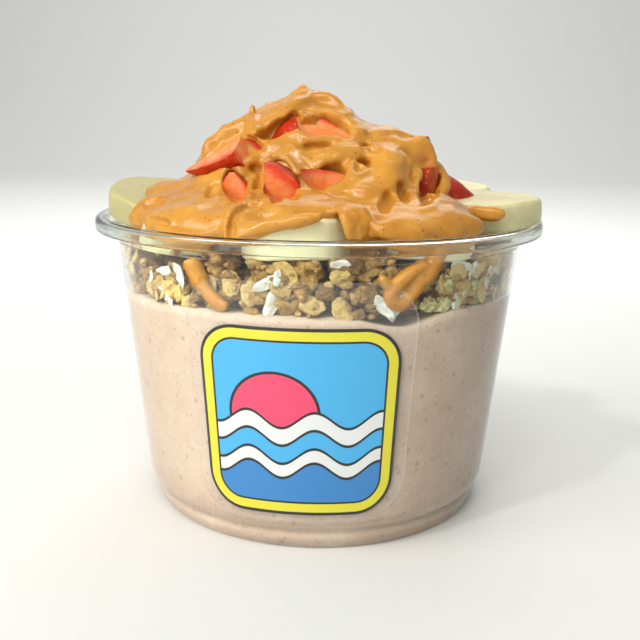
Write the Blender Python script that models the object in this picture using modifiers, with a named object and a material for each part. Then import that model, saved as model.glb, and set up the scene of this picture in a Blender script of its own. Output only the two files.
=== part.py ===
# Acai bowl: a clear flared cup of blended fruit, with granola, banana, strawberry and nut butter on top.
# The cup stands on the origin, +Z up, and its label faces -Y. Sizes are in millimetres, times MM.

import math
import random

import bmesh
import bpy
from mathutils import Matrix, Vector, noise

MM = 0.001
GAP = 0.35  # clearance between neighbouring solids
FRUIT_GAP = 0.45  # between the nut butter and the fruit in it

# Cup
LIP_RADIUS = 58.5
CUP_HEIGHT = 76.6
WALL = 0.6
WALL_TOP = (53.3, 71.4)  # outer radius and height where the lip flares out
LEDGE_HEIGHT = 70.6  # stacking ledge just below the lip
LEDGE_STEP = 0.5
WALL_BOTTOM = (46.1, 9.0)
FOOT_STEP_HEIGHT = 5.4
FOOT_RADIUS = 42.0
FOOT_RING_WIDTH = 3.4
PANEL_LIFT = 1.2  # the middle of the base stands clear of the table
TURN_STEPS = 40

# Label, a rounded square wrapped round the wall
LABEL_SIDE = 46.0
LABEL_CORNER = 9.0
LABEL_CENTRE_ANGLE = -5.0
LABEL_CENTRE_HEIGHT = 33.5
LABEL_THICKNESS = 0.3

# Layers
SMOOTHIE_TOP = 58.6
SMOOTHIE_SWELL = 1.3
GRANOLA_TOP = 69.0
GRANOLA_RIM_TOP = 73.0  # between the banana slices, against the wall
GRANOLA_CORE_RADIUS = 46.0
GRANOLA_ROWS = (61.2, 65.2, 69.2)  # heights of the cluster rows that show through the wall
GRANOLA_PER_ROW = 22
FLAKES_PER_ROW = 7
GRANOLA_TRIANGLES = 3800

# Mound of nut butter over diced fruit: a broad dome with a taller ridge across its middle
MOUND_CENTRE = (-3.0, 2.0)
MOUND_REACH_LEFT = 36.0
MOUND_REACH_RIGHT = 40.0
MOUND_REACH_DEPTH = 36.0
MOUND_FOOT = 79.0
DOME_RISE = 24.5
DOME_FULLNESS = (3.5, 1.9)  # across and in depth: higher is squarer
RIDGE_RISE = 5.5
RIDGE_CENTRE = (-2.5, 1.0)
RIDGE_SPREAD = (7.0, 14.0)
SKIRT_RADIUS = 43.0
SKIRT_EDGE_HEIGHT = 75.5
NUT_BUTTER_FLOOR = 70.0
RIM_ROOM_RADIUS = 46.6  # outside this, granola stands higher between the banana slices
VOXEL = 0.95
NUT_BUTTER_TRIANGLES = 2200  # before the fruit is cut out of it, which doubles them

CLEAR_PET = ("clear_pet", (0.90, 0.95, 0.93), 0.05)
LABEL_FILM = ("label_film", (0.20, 0.55, 0.85), 0.35)
SMOOTHIE = ("smoothie", (0.72, 0.56, 0.46), 0.45)
GRANOLA = ("granola", (0.58, 0.40, 0.20), 0.70)
BANANA = ("banana", (0.88, 0.80, 0.50), 0.45)
STRAWBERRY = ("strawberry", (0.72, 0.08, 0.05), 0.30)
NUT_BUTTER = ("nut_butter", (0.70, 0.39, 0.14), 0.30)

# Banana slices: angle from the front (+ to the right), distance of the centre from the axis, height of the
# centre, radius, thickness, tilt (degrees) that raises the outer edge, and tilt that raises the side that is
# on the right as seen from outside the cup.
BANANAS = {
    "banana_front": (-8.0, 39.2, 75.3, 12.1, 8.2, 2.0, 3.0),
    "banana_front_left": (-50.0, 38.3, 74.0, 12.6, 7.6, 1.0, 0.0),
    "banana_left": (-87.0, 42.6, 78.6, 12.6, 7.0, 5.0, -14.0),
    "banana_front_right": (37.5, 38.8, 74.4, 12.3, 7.6, 0.0, -3.0),
    "banana_right": (78.0, 43.2, 78.2, 13.4, 7.0, 3.0, 4.0),
    "banana_back_right": (117.0, 39.8, 79.0, 12.2, 7.8, 2.0, 4.0),
    "banana_back": (158.0, 38.8, 74.8, 12.6, 8.0, 4.0, 5.0),
    "banana_back_left": (-163.0, 38.6, 74.8, 12.2, 8.0, 4.0, -4.0),
    "banana_left_back": (-125.0, 38.6, 74.8, 11.8, 7.8, 3.0, -4.0),
}

# Strawberry pieces: cut, size, plan position on the mound, how deep the middle lies under its surface,
# direction of the berry's tip, and direction that its skin faces.
STRAWBERRIES = {
    "strawberry_left": ("quarter", 0.88, (-26.5, -14.5), 0.6, (-0.80, 0.40, -0.40), (0.15, 0.0, -1.0)),
    "strawberry_upper_left": ("quarter", 0.36, (-17.0, -19.6), 0.5, (-0.7, 0.0, 0.7), (-0.2, -0.8, 0.5)),
    "strawberry_top_left": ("quarter", 0.62, (-9.6, -17.0), 0.9, (-0.95, 0.1, -0.3), (0.0, -0.8, -0.5)),
    "strawberry_top": ("half", 0.62, (3.6, -16.8), 1.6, (0.97, -0.05, -0.15), (0.1, 0.97, 0.1)),
    "strawberry_low_left": ("half", 0.66, (-20.2, -24.3), 1.5, (-0.1, -0.1, 0.95), (0.3, 0.95, 0.1)),
    "strawberry_middle": ("quarter", 0.80, (-8.4, -27.6), 0.2, (-0.25, 0.25, 0.93), (0.75, 0.6, 0.1)),
    "strawberry_inner": ("half", 0.62, (4.2, -26.0), 1.4, (0.9, 0.1, 0.4), (0.1, 0.95, 0.3)),
    "strawberry_under_fold": ("quarter", 0.45, (11.6, -22.6), 1.3, (0.7, 0.1, 0.6), (0.1, -0.9, 0.3)),
    "strawberry_low_right": ("half", 0.55, (16.4, -27.0), 1.6, (0.1, 0.2, 0.97), (0.1, 0.95, 0.2)),
    "strawberry_right": ("quarter", 0.78, (26.5, -2.5), -0.2, (0.45, -0.2, -0.85), (0.85, -0.35, 0.3)),
    "strawberry_finger": ("half", 0.66, (26.4, -15.6), 1.0, (0.5, -0.2, -0.7), (0.4, -0.85, 0.3)),
    "strawberry_far_right": ("quarter", 0.62, (33.5, -2.5), -2.6, (0.97, -0.1, -0.14), (0.1, -0.7, 0.65)),
    "strawberry_back_top": ("half", 0.76, (-6.5, 18.0), 0.6, (-0.7, 0.5, -0.4), (0.1, 0.5, 0.8)),
    "strawberry_back_right": ("quarter", 0.85, (10.5, 21.0), 0.4, (0.8, 0.5, -0.3), (0.2, 0.6, 0.7)),
    "strawberry_back_low": ("quarter", 0.80, (-4.0, 30.0), 0.2, (-0.9, 0.3, -0.1), (0.1, 0.8, 0.5)),
    "strawberry_back_left": ("half", 0.74, (-27.5, 15.0), 0.6, (-0.5, 0.5, -0.6), (-0.5, 0.5, 0.7)),
    "strawberry_back_side": ("quarter", 0.82, (26.0, 17.0), 0.4, (0.5, 0.6, -0.5), (0.5, 0.5, 0.6)),
}

# Ropes of nut butter: radius, then the plan points (x, y) that each one crosses on the mound.
FRONT_ROPES = (
    (2.3, ((-4, -4), (2, -9), (6, -13), (9, -16), (11, -19))),
    (1.2, ((-4, -11), (-4.5, -16), (-4.5, -20))),
    (1.9, ((-12, -5), (-8, -11), (-3, -13.5), (3, -13), (8, -14))),
    (1.7, ((-17, -15), (-11, -19.5), (-5, -21), (2, -20.5), (9, -18))),
    (1.3, ((-15, -20), (-8, -22.5), (-1, -23), (5, -22))),
    (1.6, ((-17, -21), (-11, -24), (-5, -25.5), (0, -25.5), (6, -22.5), (13, -17))),
    (1.4, ((-14.5, -32), (-13.8, -29), (-12.5, -26), (-9, -25), (-5, -27), (-2.5, -30), (1, -32))),
    (1.8, ((-1.5, -31), (-0.5, -27), (4, -23.5), (9.5, -24), (8.5, -28), (4, -31))),
    (2.6, ((6, -20), (12, -18.5), (18, -18.5), (21, -20.5), (20, -26), (21, -31))),
    (2.3, ((12, -9), (20, -7), (27, -8), (31, -11), (31.5, -16), (31, -20))),
    (1.3, ((-25, -28), (-25, -24), (-22.5, -22), (-18, -23), (-16, -27), (-15, -31))),
    (2.4, ((-6, -6), (-12, -10), (-18, -11), (-24, -10), (-29, -8), (-33, -7))),
    (1.8, ((-37, -15), (-30, -22), (-23, -28), (-13, -33), (-2, -34), (7, -33), (14, -31), (20, -29))),
    (2.1, ((19, -25), (23, -27), (29, -24.5), (34, -19.5), (40, -18), (45, -21))),
)
BACK_ROPE_ROWS = (0.30, 0.50, 0.70, 0.90)  # share of the mound's reach
BACK_ROPE_RADIUS = 1.9
# Peaks that a lifted spoon pulled up: plan position and height of the tip.
PEAKS = (((-17.0, 0.0), 104.4), ((-4.5, 2.0), 110.4))

# Flat lobes that ran out over the fruit: angle, distance and height of the centre, slope downwards, then
# half-sizes across, outwards and through.
LOBES = (
    (-41.0, 37.0, 79.4, 10.0, (12.0, 15.0, 4.4)),
    (-38.0, 49.3, 77.2, 24.0, (12.5, 5.4, 3.9)),
    (-66.0, 37.0, 80.0, 7.0, (9.0, 12.5, 3.6)),
    (-62.0, 48.3, 77.6, 20.0, (7.5, 5.5, 3.2)),
    (-10.0, 37.2, 81.0, 5.0, (15.0, 12.6, 3.6)),
    (-21.5, 49.0, 77.8, 20.0, (5.0, 4.6, 3.6)),
    (9.5, 46.0, 78.6, 20.0, (3.6, 6.0, 4.4)),
    (33.0, 39.0, 79.0, 8.0, (16.5, 12.5, 4.8)),
    (31.0, 48.6, 77.2, 22.0, (15.0, 5.6, 4.2)),
    (-98.0, 33.0, 80.5, 4.0, (9.0, 9.0, 3.4)),
    (170.0, 36.0, 79.4, 8.0, (14.0, 12.5, 4.4)),
    (-142.0, 35.0, 79.6, 8.0, (13.0, 12.0, 4.2)),
    (112.0, 35.0, 80.6, 8.0, (11.0, 10.0, 3.6)),
)
# Drips between the granola and the wall: radius, then angle and height.
DRIPS = (
    (1.7, ((-34.0, 77.0), (-32.5, 71.0), (-30.5, 66.5), (-27.5, 62.5), (-24.5, 60.4))),
    (1.9, ((29.5, 77.0), (29.5, 71.5), (28.5, 68.0))),
    (1.5, ((27.5, 70.5), (21.5, 67.5), (18.5, 64.5), (18.5, 62.0), (22.0, 61.4), (25.0, 64.5), (27.0, 69.0))),
)
DRIP_RADIUS_ON_WALL = 50.3


def clear_scene():
    for old in list(bpy.data.objects):
        bpy.data.objects.remove(old, do_unlink=True)


def collection(name):
    made = bpy.data.collections.new(name)
    bpy.context.scene.collection.children.link(made)
    return made


def material(look):
    name, colour, roughness = look
    found = bpy.data.materials.get(name)
    if found:
        return found
    made = bpy.data.materials.new(name)
    made.use_nodes = True
    shader = made.node_tree.nodes["Principled BSDF"]
    shader.inputs["Base Color"].default_value = (*colour, 1.0)
    shader.inputs["Roughness"].default_value = roughness
    shader.inputs["Metallic"].default_value = 0.0
    return made


def add_object(name, data, group, look=None):
    made = bpy.data.objects.new(name, data)
    group.objects.link(made)
    if look:
        made.data.materials.append(material(look))
    return made


def add_bmesh(name, shape, group, look=None):
    mesh = bpy.data.meshes.new(name)
    bmesh.ops.recalc_face_normals(shape, faces=shape.faces)
    shape.to_mesh(mesh)
    shape.free()
    made = add_object(name, mesh, group, look)
    mesh.shade_smooth()
    mesh.set_sharp_from_angle(angle=math.radians(40))
    return made


def applied(made):
    """Turns the object's evaluated shape into its own plain mesh."""
    bpy.context.view_layer.update()
    graph = bpy.context.evaluated_depsgraph_get()
    mesh = bpy.data.meshes.new_from_object(made.evaluated_get(graph))
    made.modifiers.clear()
    made.data = mesh
    return made


def remove_all(group):
    for old in list(group.objects):
        bpy.data.objects.remove(old, do_unlink=True)
    bpy.data.collections.remove(group)


def polar(angle, distance, height):
    """A point from its angle off the front, distance from the axis and height, in millimetres."""
    turn = math.radians(angle)
    return Vector((distance * math.sin(turn), -distance * math.cos(turn), height))


def wall_radius(height):
    """Outer radius of the cup's straight wall."""
    top_radius, top = WALL_TOP[0] - LEDGE_STEP, LEDGE_HEIGHT
    bottom_radius, bottom = WALL_BOTTOM
    return bottom_radius + (top_radius - bottom_radius) * (height - bottom) / (top - bottom)


def inner_radius(height):
    return wall_radius(height) - WALL


def turned(name, profile, group, look=None):
    """A solid of revolution. The profile goes up the inner side and down the outer one."""
    mesh = bpy.data.meshes.new(name)
    points = [(radius * MM, 0.0, height * MM) for radius, height in profile]
    edges = [(i, i + 1) for i in range(len(points) - 1)]
    mesh.from_pydata(points, edges, [])
    made = add_object(name, mesh, group, look)
    screw = made.modifiers.new("turn", "SCREW")
    screw.axis = "Z"
    screw.angle = math.tau
    screw.steps = screw.render_steps = TURN_STEPS
    screw.use_merge_vertices = True
    screw.merge_threshold = 1e-6
    screw.use_smooth_shade = True
    return made


def cup(group):
    """Thermoformed cup: foot ring, step, straight wall, stacking ledge and flared lip."""
    top_radius, top = WALL_TOP
    inner = [
        (0.0, PANEL_LIFT + WALL),
        (FOOT_RADIUS - FOOT_RING_WIDTH - 1.0, PANEL_LIFT + WALL),
        (FOOT_RADIUS - FOOT_RING_WIDTH + 0.4, WALL),
        (FOOT_RADIUS - 0.3, WALL),
        (FOOT_RADIUS + 0.8, 1.3),
        (WALL_BOTTOM[0] - 2.4, FOOT_STEP_HEIGHT - 0.6),
        (WALL_BOTTOM[0] - 1.3, WALL_BOTTOM[1] - 2.4),
        (WALL_BOTTOM[0] - WALL, WALL_BOTTOM[1]),
        (top_radius - LEDGE_STEP - WALL, LEDGE_HEIGHT),
        (top_radius - WALL, LEDGE_HEIGHT + 0.4),
        (top_radius + 0.2, top + 1.2),
        (LIP_RADIUS - 2.4, CUP_HEIGHT - 2.6),
        (LIP_RADIUS - 0.8, CUP_HEIGHT - 1.0),
        (LIP_RADIUS - 0.5, CUP_HEIGHT),
    ]
    outer = [
        (LIP_RADIUS - 0.1, CUP_HEIGHT),
        (LIP_RADIUS, CUP_HEIGHT - 1.2),
        (LIP_RADIUS - 1.4, CUP_HEIGHT - 2.9),
        (LIP_RADIUS - 3.2, CUP_HEIGHT - 3.9),
        (top_radius + 0.6, top + 0.7),
        (top_radius, LEDGE_HEIGHT + 0.3),
        (top_radius - LEDGE_STEP, LEDGE_HEIGHT),
        WALL_BOTTOM,
        (WALL_BOTTOM[0] - 0.7, WALL_BOTTOM[1] - 2.5),
        (WALL_BOTTOM[0] - 1.7, FOOT_STEP_HEIGHT - 0.3),
        (FOOT_RADIUS + 1.4, 0.9),
        (FOOT_RADIUS, 0.0),
        (FOOT_RADIUS - FOOT_RING_WIDTH, 0.0),
        (FOOT_RADIUS - FOOT_RING_WIDTH - 1.2, PANEL_LIFT),
        (0.0, PANEL_LIFT),
    ]
    return turned("cup", inner + outer, group, CLEAR_PET)


def label(group):
    """Rounded-square sticker that follows the wall, just clear of it."""
    columns, corner_rows = 10, 4
    straight = LABEL_SIDE / 2 - LABEL_CORNER
    rows = []
    for i in range(corner_rows + 1):
        turn = math.radians(90.0 * i / corner_rows)
        rows.append((straight + LABEL_CORNER * math.cos(turn), straight + LABEL_CORNER * math.sin(turn)))
    heights = [(width, -up) for width, up in reversed(rows)] + rows
    shape = bmesh.new()
    grid = []
    for width, up in heights:
        row = [label_point(width * (2.0 * i / columns - 1.0), up, 0.0) for i in range(columns + 1)]
        grid.append([shape.verts.new(place) for place in row])
    for low, high in zip(grid, grid[1:]):
        for i in range(columns):
            shape.faces.new((low[i], low[i + 1], high[i + 1], high[i]))
    mesh = bpy.data.meshes.new("label")
    shape.to_mesh(mesh)
    shape.free()
    made = add_object("label", mesh, group, LABEL_FILM)
    shell = made.modifiers.new("thickness", "SOLIDIFY")
    shell.thickness = LABEL_THICKNESS * MM
    shell.offset = 1.0
    shell.use_even_offset = True
    return made


def label_point(across, up, lift):
    """A label position, in millimetres across and up from its middle, on the wall's outer side."""
    height = LABEL_CENTRE_HEIGHT + up
    radius = wall_radius(height) + GAP + lift
    angle = LABEL_CENTRE_ANGLE + math.degrees(across / wall_radius(LABEL_CENTRE_HEIGHT))
    return polar(angle, radius, height) * MM


def smoothie_height(x, y):
    """Top of the blended fruit, which swells and dips where the granola sank in."""
    swell = noise.noise(Vector((x / 17.0, y / 17.0, 3.1)))
    right_dip = math.exp(-((math.atan2(x, -y) - math.radians(23)) ** 2) / 0.03)
    return SMOOTHIE_TOP + SMOOTHIE_SWELL * swell - 1.7 * right_dip * min(1.0, math.hypot(x, y) / 40)


def smoothie(group):
    """Everything up to the granola: one body that fills the cup."""
    top_radius = inner_radius(SMOOTHIE_TOP) - GAP
    profile = [(top_radius * share, SMOOTHIE_TOP) for share in (0.0, 0.35, 0.65, 0.88, 1.0)]
    profile += [
        (WALL_BOTTOM[0] - WALL - GAP, WALL_BOTTOM[1]),
        (WALL_BOTTOM[0] - 1.3 - GAP, WALL_BOTTOM[1] - 2.3),
        (WALL_BOTTOM[0] - 2.5 - GAP, FOOT_STEP_HEIGHT - 0.3),
        (FOOT_RADIUS + 0.2, 1.4 + GAP),
        (FOOT_RADIUS - 0.8, WALL + GAP),
        (FOOT_RADIUS - FOOT_RING_WIDTH + 0.9, WALL + GAP),
        (FOOT_RADIUS - FOOT_RING_WIDTH - 1.0, PANEL_LIFT + WALL + GAP),
        (0.0, PANEL_LIFT + WALL + GAP),
    ]
    made = applied(turned("smoothie", profile, group, SMOOTHIE))
    follow_smoothie_top(made, 0.0, lambda height: height > SMOOTHIE_TOP - 1.0)
    return made


def follow_smoothie_top(made, lift, belongs):
    """Moves the points that lie at the smoothie's flat top onto its uneven one."""
    flat_radius = inner_radius(SMOOTHIE_TOP) - GAP
    for point in made.data.vertices:
        if belongs(point.co.z / MM):
            height = smoothie_height(point.co.x / MM, point.co.y / MM) + lift
            wide = (inner_radius(height) - GAP) / flat_radius
            point.co = (point.co.x * wide, point.co.y * wide, height * MM)


def blob(group, centre, half_sizes, turn, roughness, detail, seed):
    """A rough lump from an icosphere, for granola clusters and flakes."""
    shape = bmesh.new()
    bmesh.ops.create_icosphere(shape, subdivisions=detail, radius=1.0)
    for point in shape.verts:
        bump = noise.noise(point.co * 1.7 + Vector((seed, 0.0, 0.0)))
        point.co *= 1.0 + roughness * bump
    place = Matrix.Translation(centre * MM) @ turn @ Matrix.Diagonal((*[s * MM for s in half_sizes], 1.0))
    shape.transform(place)
    return add_bmesh("lump", shape, group)


def near_drip(angle, height, reach):
    """Whether a granola piece here would stand in the way of a drip."""
    for thickness, path in DRIPS:
        for drip_angle, drip_height in path:
            across = math.radians(angle - drip_angle) * DRIP_RADIUS_ON_WALL
            if math.hypot(across, height - drip_height) < thickness + reach:
                return True
    return False


def signed_angle(angle):
    return (angle + 180.0) % 360.0 - 180.0


def granola_core(group):
    """Plain disc whose side is lumpy where the clusters leave it bare."""
    top = GRANOLA_TOP - 1.2
    side = [(GRANOLA_CORE_RADIUS, top - drop) for drop in (0.0, 3.0, 6.5, 12.0)]
    profile = [(0.0, top), (GRANOLA_CORE_RADIUS * 0.6, top)] + side + [(0.0, top - 12.0)]
    made = applied(turned("granola", profile, group, GRANOLA))
    for point in made.data.vertices:
        if math.hypot(point.co.x, point.co.y) > 0.9 * GRANOLA_CORE_RADIUS * MM:
            wide = 1.0 + 0.05 * noise.noise(point.co * 160.0)
            point.co.x *= wide
            point.co.y *= wide
    return made


def granola(group):
    """Layer of clusters, oat flakes and coconut, standing out of a plain core where it shows."""
    helper = collection("granola_pieces")
    draw = random.Random(11)
    made = granola_core(group)
    for row, height in enumerate(GRANOLA_ROWS):
        for i in range(GRANOLA_PER_ROW):
            angle = (i + 0.5 * (row % 2) + draw.uniform(-0.25, 0.25)) * 360.0 / GRANOLA_PER_ROW
            granola_cluster(helper, signed_angle(angle), height, draw)
        for i in range(FLAKES_PER_ROW):
            angle = (i + draw.uniform(-0.4, 0.4)) * 360.0 / FLAKES_PER_ROW + 9.0 * row
            coconut_flake(helper, signed_angle(angle), height, draw)
    join = made.modifiers.new("pieces", "BOOLEAN")
    join.operation = "UNION"
    join.solver = "EXACT"
    join.operand_type = "COLLECTION"
    join.collection = helper
    applied(made)
    remove_all(helper)
    cutters = collection("granola_cutters")
    keep_within(made, granola_room(cutters))
    cut_away(made, drip_ropes(cutters, GAP))
    cut_away(made, [banana_slice(name, cutters, None, GAP) for name in BANANAS])
    remove_all(cutters)
    keep_largest_body(made)
    thin_out(made, GRANOLA_TRIANGLES)
    return made


def granola_cluster(group, angle, height, draw):
    size = draw.uniform(3.3, 4.9)
    inset = 2.0 if near_drip(angle, height, 0.7 * size) else 0.0
    reach = inner_radius(height) - GAP - size * 0.86 - inset
    turn = Matrix.Rotation(draw.uniform(0, math.tau), 4, "Z") @ Matrix.Rotation(draw.uniform(0, 3), 4, "X")
    half = (size, size * draw.uniform(0.75, 0.95), size * draw.uniform(0.65, 0.85))
    centre = polar(angle, reach, height + draw.uniform(-0.9, 0.9))
    blob(group, centre, half, turn, 0.35, 1, draw.uniform(0, 50))


def coconut_flake(group, angle, height, draw):
    if near_drip(angle, height, 3.5):
        return
    turn = Matrix.Rotation(math.radians(angle), 4, "Z") @ Matrix.Rotation(draw.uniform(-0.8, 0.8), 4, "Y")
    half = (draw.uniform(2.6, 3.8), 0.8, draw.uniform(1.6, 2.3))
    centre = polar(angle, inner_radius(height) - GAP - 1.0, height + draw.uniform(-1.8, 1.8))
    blob(group, centre, half, turn, 0.2, 1, draw.uniform(0, 50))


def granola_room(group):
    """The space that the layer may take: above the smoothie, inside the wall, under the fruit."""
    floor_radius = inner_radius(SMOOTHIE_TOP) - GAP
    profile = [
        (0.0, GRANOLA_TOP),
        (RIM_ROOM_RADIUS + GAP, GRANOLA_TOP),
        (RIM_ROOM_RADIUS + GAP, GRANOLA_RIM_TOP),
        (inner_radius(LEDGE_HEIGHT) - GAP, GRANOLA_RIM_TOP),
        (inner_radius(LEDGE_HEIGHT) - GAP, LEDGE_HEIGHT),
    ]
    profile += [(floor_radius * share, SMOOTHIE_TOP) for share in (1.0, 0.88, 0.65, 0.35, 0.0)]
    made = applied(turned("granola_room", profile, group))
    follow_smoothie_top(made, GAP, lambda height: height < SMOOTHIE_TOP + 1.0)
    return made


def boolean(made, other, operation):
    step = made.modifiers.new(operation.lower(), "BOOLEAN")
    step.operation = operation
    step.solver = "MANIFOLD"
    step.object = other
    return applied(made)


def keep_within(made, room):
    return boolean(made, room, "INTERSECT")


def cut_away(made, cutters):
    for cutter in cutters:
        boolean(made, cutter, "DIFFERENCE")
    return made


def keep_largest_body(made):
    """Drops loose scraps that cutting left."""
    shape = bmesh.new()
    shape.from_mesh(made.data)
    unseen = set(shape.verts)
    bodies = []
    while unseen:
        body = set()
        edge_of_body = [unseen.pop()]
        while edge_of_body:
            point = edge_of_body.pop()
            body.add(point)
            for edge in point.link_edges:
                other = edge.other_vert(point)
                if other in unseen:
                    unseen.discard(other)
                    edge_of_body.append(other)
        bodies.append(body)
    largest = max(bodies, key=len)
    bmesh.ops.delete(shape, geom=[p for body in bodies if body is not largest for p in body], context="VERTS")
    shape.to_mesh(made.data)
    shape.free()
    return made


def banana_slice(name, group, look, grow=0.0):
    """A round slice, slightly three-sided as a banana is, lying tilted on the granola."""
    angle, distance, height, radius, thickness, tilt_out, tilt_side = BANANAS[name]
    half = thickness / 2 + grow
    shape = bmesh.new()
    bmesh.ops.create_cone(
        shape, cap_ends=True, cap_tris=False, segments=18, radius1=1.0, radius2=1.0, depth=2.0
    )
    rim = [edge for edge in shape.edges if abs(edge.verts[0].co.z - edge.verts[1].co.z) < 0.5]
    bmesh.ops.bevel(shape, geom=rim, offset=0.08, segments=1, profile=0.6, affect="EDGES")
    seed = sum(map(ord, name))
    for point in shape.verts:
        turn = math.atan2(point.co.y, point.co.x)
        wave = 1.0 + 0.022 * math.cos(3 * turn + seed) + 0.014 * math.cos(5 * turn + 2.3 * seed)
        lean = 0.05 * point.co.z * math.cos(turn - seed)
        flat = math.hypot(point.co.x, point.co.y)
        across = (radius * wave * (1.0 + lean) + grow) * flat
        point.co = (across * math.cos(turn) * MM, across * math.sin(turn) * MM, point.co.z * half * MM)
    made = add_bmesh(name, shape, group, look)
    place = Matrix.Translation(polar(angle, distance, height) * MM)
    place @= Matrix.Rotation(math.radians(angle), 4, "Z")
    place @= Matrix.Rotation(math.radians(-tilt_out), 4, "X")
    place @= Matrix.Rotation(math.radians(-tilt_side), 4, "Y")
    made.matrix_world = place
    return made


def berry_radius(share):
    """Half-width of a whole strawberry from its shoulder (0) to its tip (1)."""
    return 10.5 * math.sin(math.pi * (0.16 + 0.84 * share) ** 0.62) ** 0.72 * (1.0 - 0.12 * share)


def sector(radius, spread, steps, grow):
    """Outline of a wedge across the berry: an arc with one corner (quarter) or a straight back (half)."""
    wide = radius + grow
    past = math.degrees(math.asin(min(0.9, grow / wide)))
    start, end = (-past, 90.0 + past) if spread == 90.0 else (-90.0 - past, 90.0 + past)
    points = [(-grow, -grow)] if spread == 90.0 else []
    for i in range(steps + 1):
        turn = math.radians(start + (end - start) * i / steps)
        points.append((wide * math.cos(turn), wide * math.sin(turn)))
    return points


def strawberry_piece(name, group, look, grow=0.0):
    """Part of a berry, cut flat on the sides that don't show skin."""
    cut, size, plan, sink, tip, skin = STRAWBERRIES[name]
    spread, steps = (90.0, 4) if cut == "quarter" else (180.0, 6)
    length = 23.0 * size
    stations = (0.20, 0.38, 0.56, 0.74, 0.88, 0.97)
    shape = bmesh.new()
    rings = []
    for number, share in enumerate(stations):
        past_end = -grow if number == 0 else grow * number / (len(stations) - 1)
        along = (share - 0.5) * length + past_end
        outline = sector(berry_radius(share) * size, spread, steps, grow)
        rings.append([shape.verts.new((x, y, along)) for x, y in outline])
    for low, high in zip(rings, rings[1:]):
        for i in range(len(low)):
            j = (i + 1) % len(low)
            shape.faces.new((low[i], low[j], high[j], high[i]))
    shape.faces.new(rings[0])
    shape.faces.new(rings[-1])
    # The origin is the wedge's own middle, and local X points out through the middle of the skin
    middle = Vector((3.6 * size, 3.6 * size if cut == "quarter" else 0.0, 0.08 * length))
    shape.transform(Matrix.Translation(-middle))
    if cut == "quarter":
        shape.transform(Matrix.Rotation(math.radians(-45), 4, "Z"))
    shape.transform(Matrix.Scale(MM, 4))
    bmesh.ops.triangulate(shape, faces=shape.faces)
    made = add_bmesh(name, shape, group, look)
    up = Vector(tip).normalized()
    out = Vector(skin) - up * up.dot(Vector(skin))
    out.normalize()
    centre = on_mound(*plan) - mound_normal(*plan) * sink
    made.matrix_world = Matrix.Translation(centre * MM) @ Matrix((out, up.cross(out), up)).transposed().to_4x4()
    return made


def mound_slope(x, y):
    """0 at the top of the dome and 1 at its foot."""
    reach = MOUND_REACH_LEFT if x < MOUND_CENTRE[0] else MOUND_REACH_RIGHT
    across = abs(x - MOUND_CENTRE[0]) / reach
    deep = abs(y - MOUND_CENTRE[1]) / MOUND_REACH_DEPTH
    return min(1.0, across ** DOME_FULLNESS[0] + deep ** DOME_FULLNESS[1])


def mound_height(x, y):
    across = (x - RIDGE_CENTRE[0]) / RIDGE_SPREAD[0]
    deep = (y - RIDGE_CENTRE[1]) / RIDGE_SPREAD[1]
    ridge = RIDGE_RISE * math.exp(-(across**2 + deep**2) / 2)
    return MOUND_FOOT + DOME_RISE * (1.0 - mound_slope(x, y)) + ridge


def mound_normal(x, y):
    step = 0.5
    slope_x = (mound_height(x + step, y) - mound_height(x - step, y)) / (2 * step)
    slope_y = (mound_height(x, y + step) - mound_height(x, y - step)) / (2 * step)
    return Vector((-slope_x, -slope_y, 1.0)).normalized()


def on_mound(x, y):
    return Vector((x, y, mound_height(x, y)))


def smooth_path(points, per_span=6):
    """Catmull-Rom curve through the points."""
    ends = [points[0] * 2 - points[1]] + list(points) + [points[-1] * 2 - points[-2]]
    path = []
    for a, b, c, d in zip(ends, ends[1:], ends[2:], ends[3:]):
        for i in range(per_span):
            t = i / per_span
            path.append(
                0.5 * (2 * b + (c - a) * t + (2 * a - 5 * b + 4 * c - d) * t**2 + (3 * b - a - 3 * c + d) * t**3)
            )
    return path + [points[-1]]


def rope(group, points, radius, taper=0.45):
    """A strand of nut butter: a round tube that thins at both ends."""
    path = smooth_path(points)
    curve = bpy.data.curves.new("rope", "CURVE")
    curve.dimensions = "3D"
    curve.bevel_depth = radius * MM
    curve.bevel_resolution = 2
    curve.use_fill_caps = True
    spline = curve.splines.new("POLY")
    spline.points.add(len(path) - 1)
    for i, place in enumerate(path):
        spline.points[i].co = (*(place * MM), 1.0)
        end = min(i, len(path) - 1 - i) / 4.0
        spline.points[i].radius = taper + (1.0 - taper) * min(1.0, end)
    made = add_object("rope", curve, group)
    bpy.context.view_layer.update()
    graph = bpy.context.evaluated_depsgraph_get()
    mesh = bpy.data.meshes.new_from_object(made.evaluated_get(graph))
    bpy.data.objects.remove(made, do_unlink=True)
    shape = bmesh.new()
    shape.from_mesh(mesh)
    bmesh.ops.remove_doubles(shape, verts=shape.verts, dist=1e-6)
    return add_bmesh("rope", shape, group)


def drip_ropes(group, grow):
    made = []
    for radius, path in DRIPS:
        points = []
        for angle, height in path:
            distance = min(DRIP_RADIUS_ON_WALL, inner_radius(height) - GAP - radius - 0.1)
            points.append(polar(angle, distance, height))
        made.append(rope(group, points, radius + grow, taper=0.8))
    return made


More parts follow.
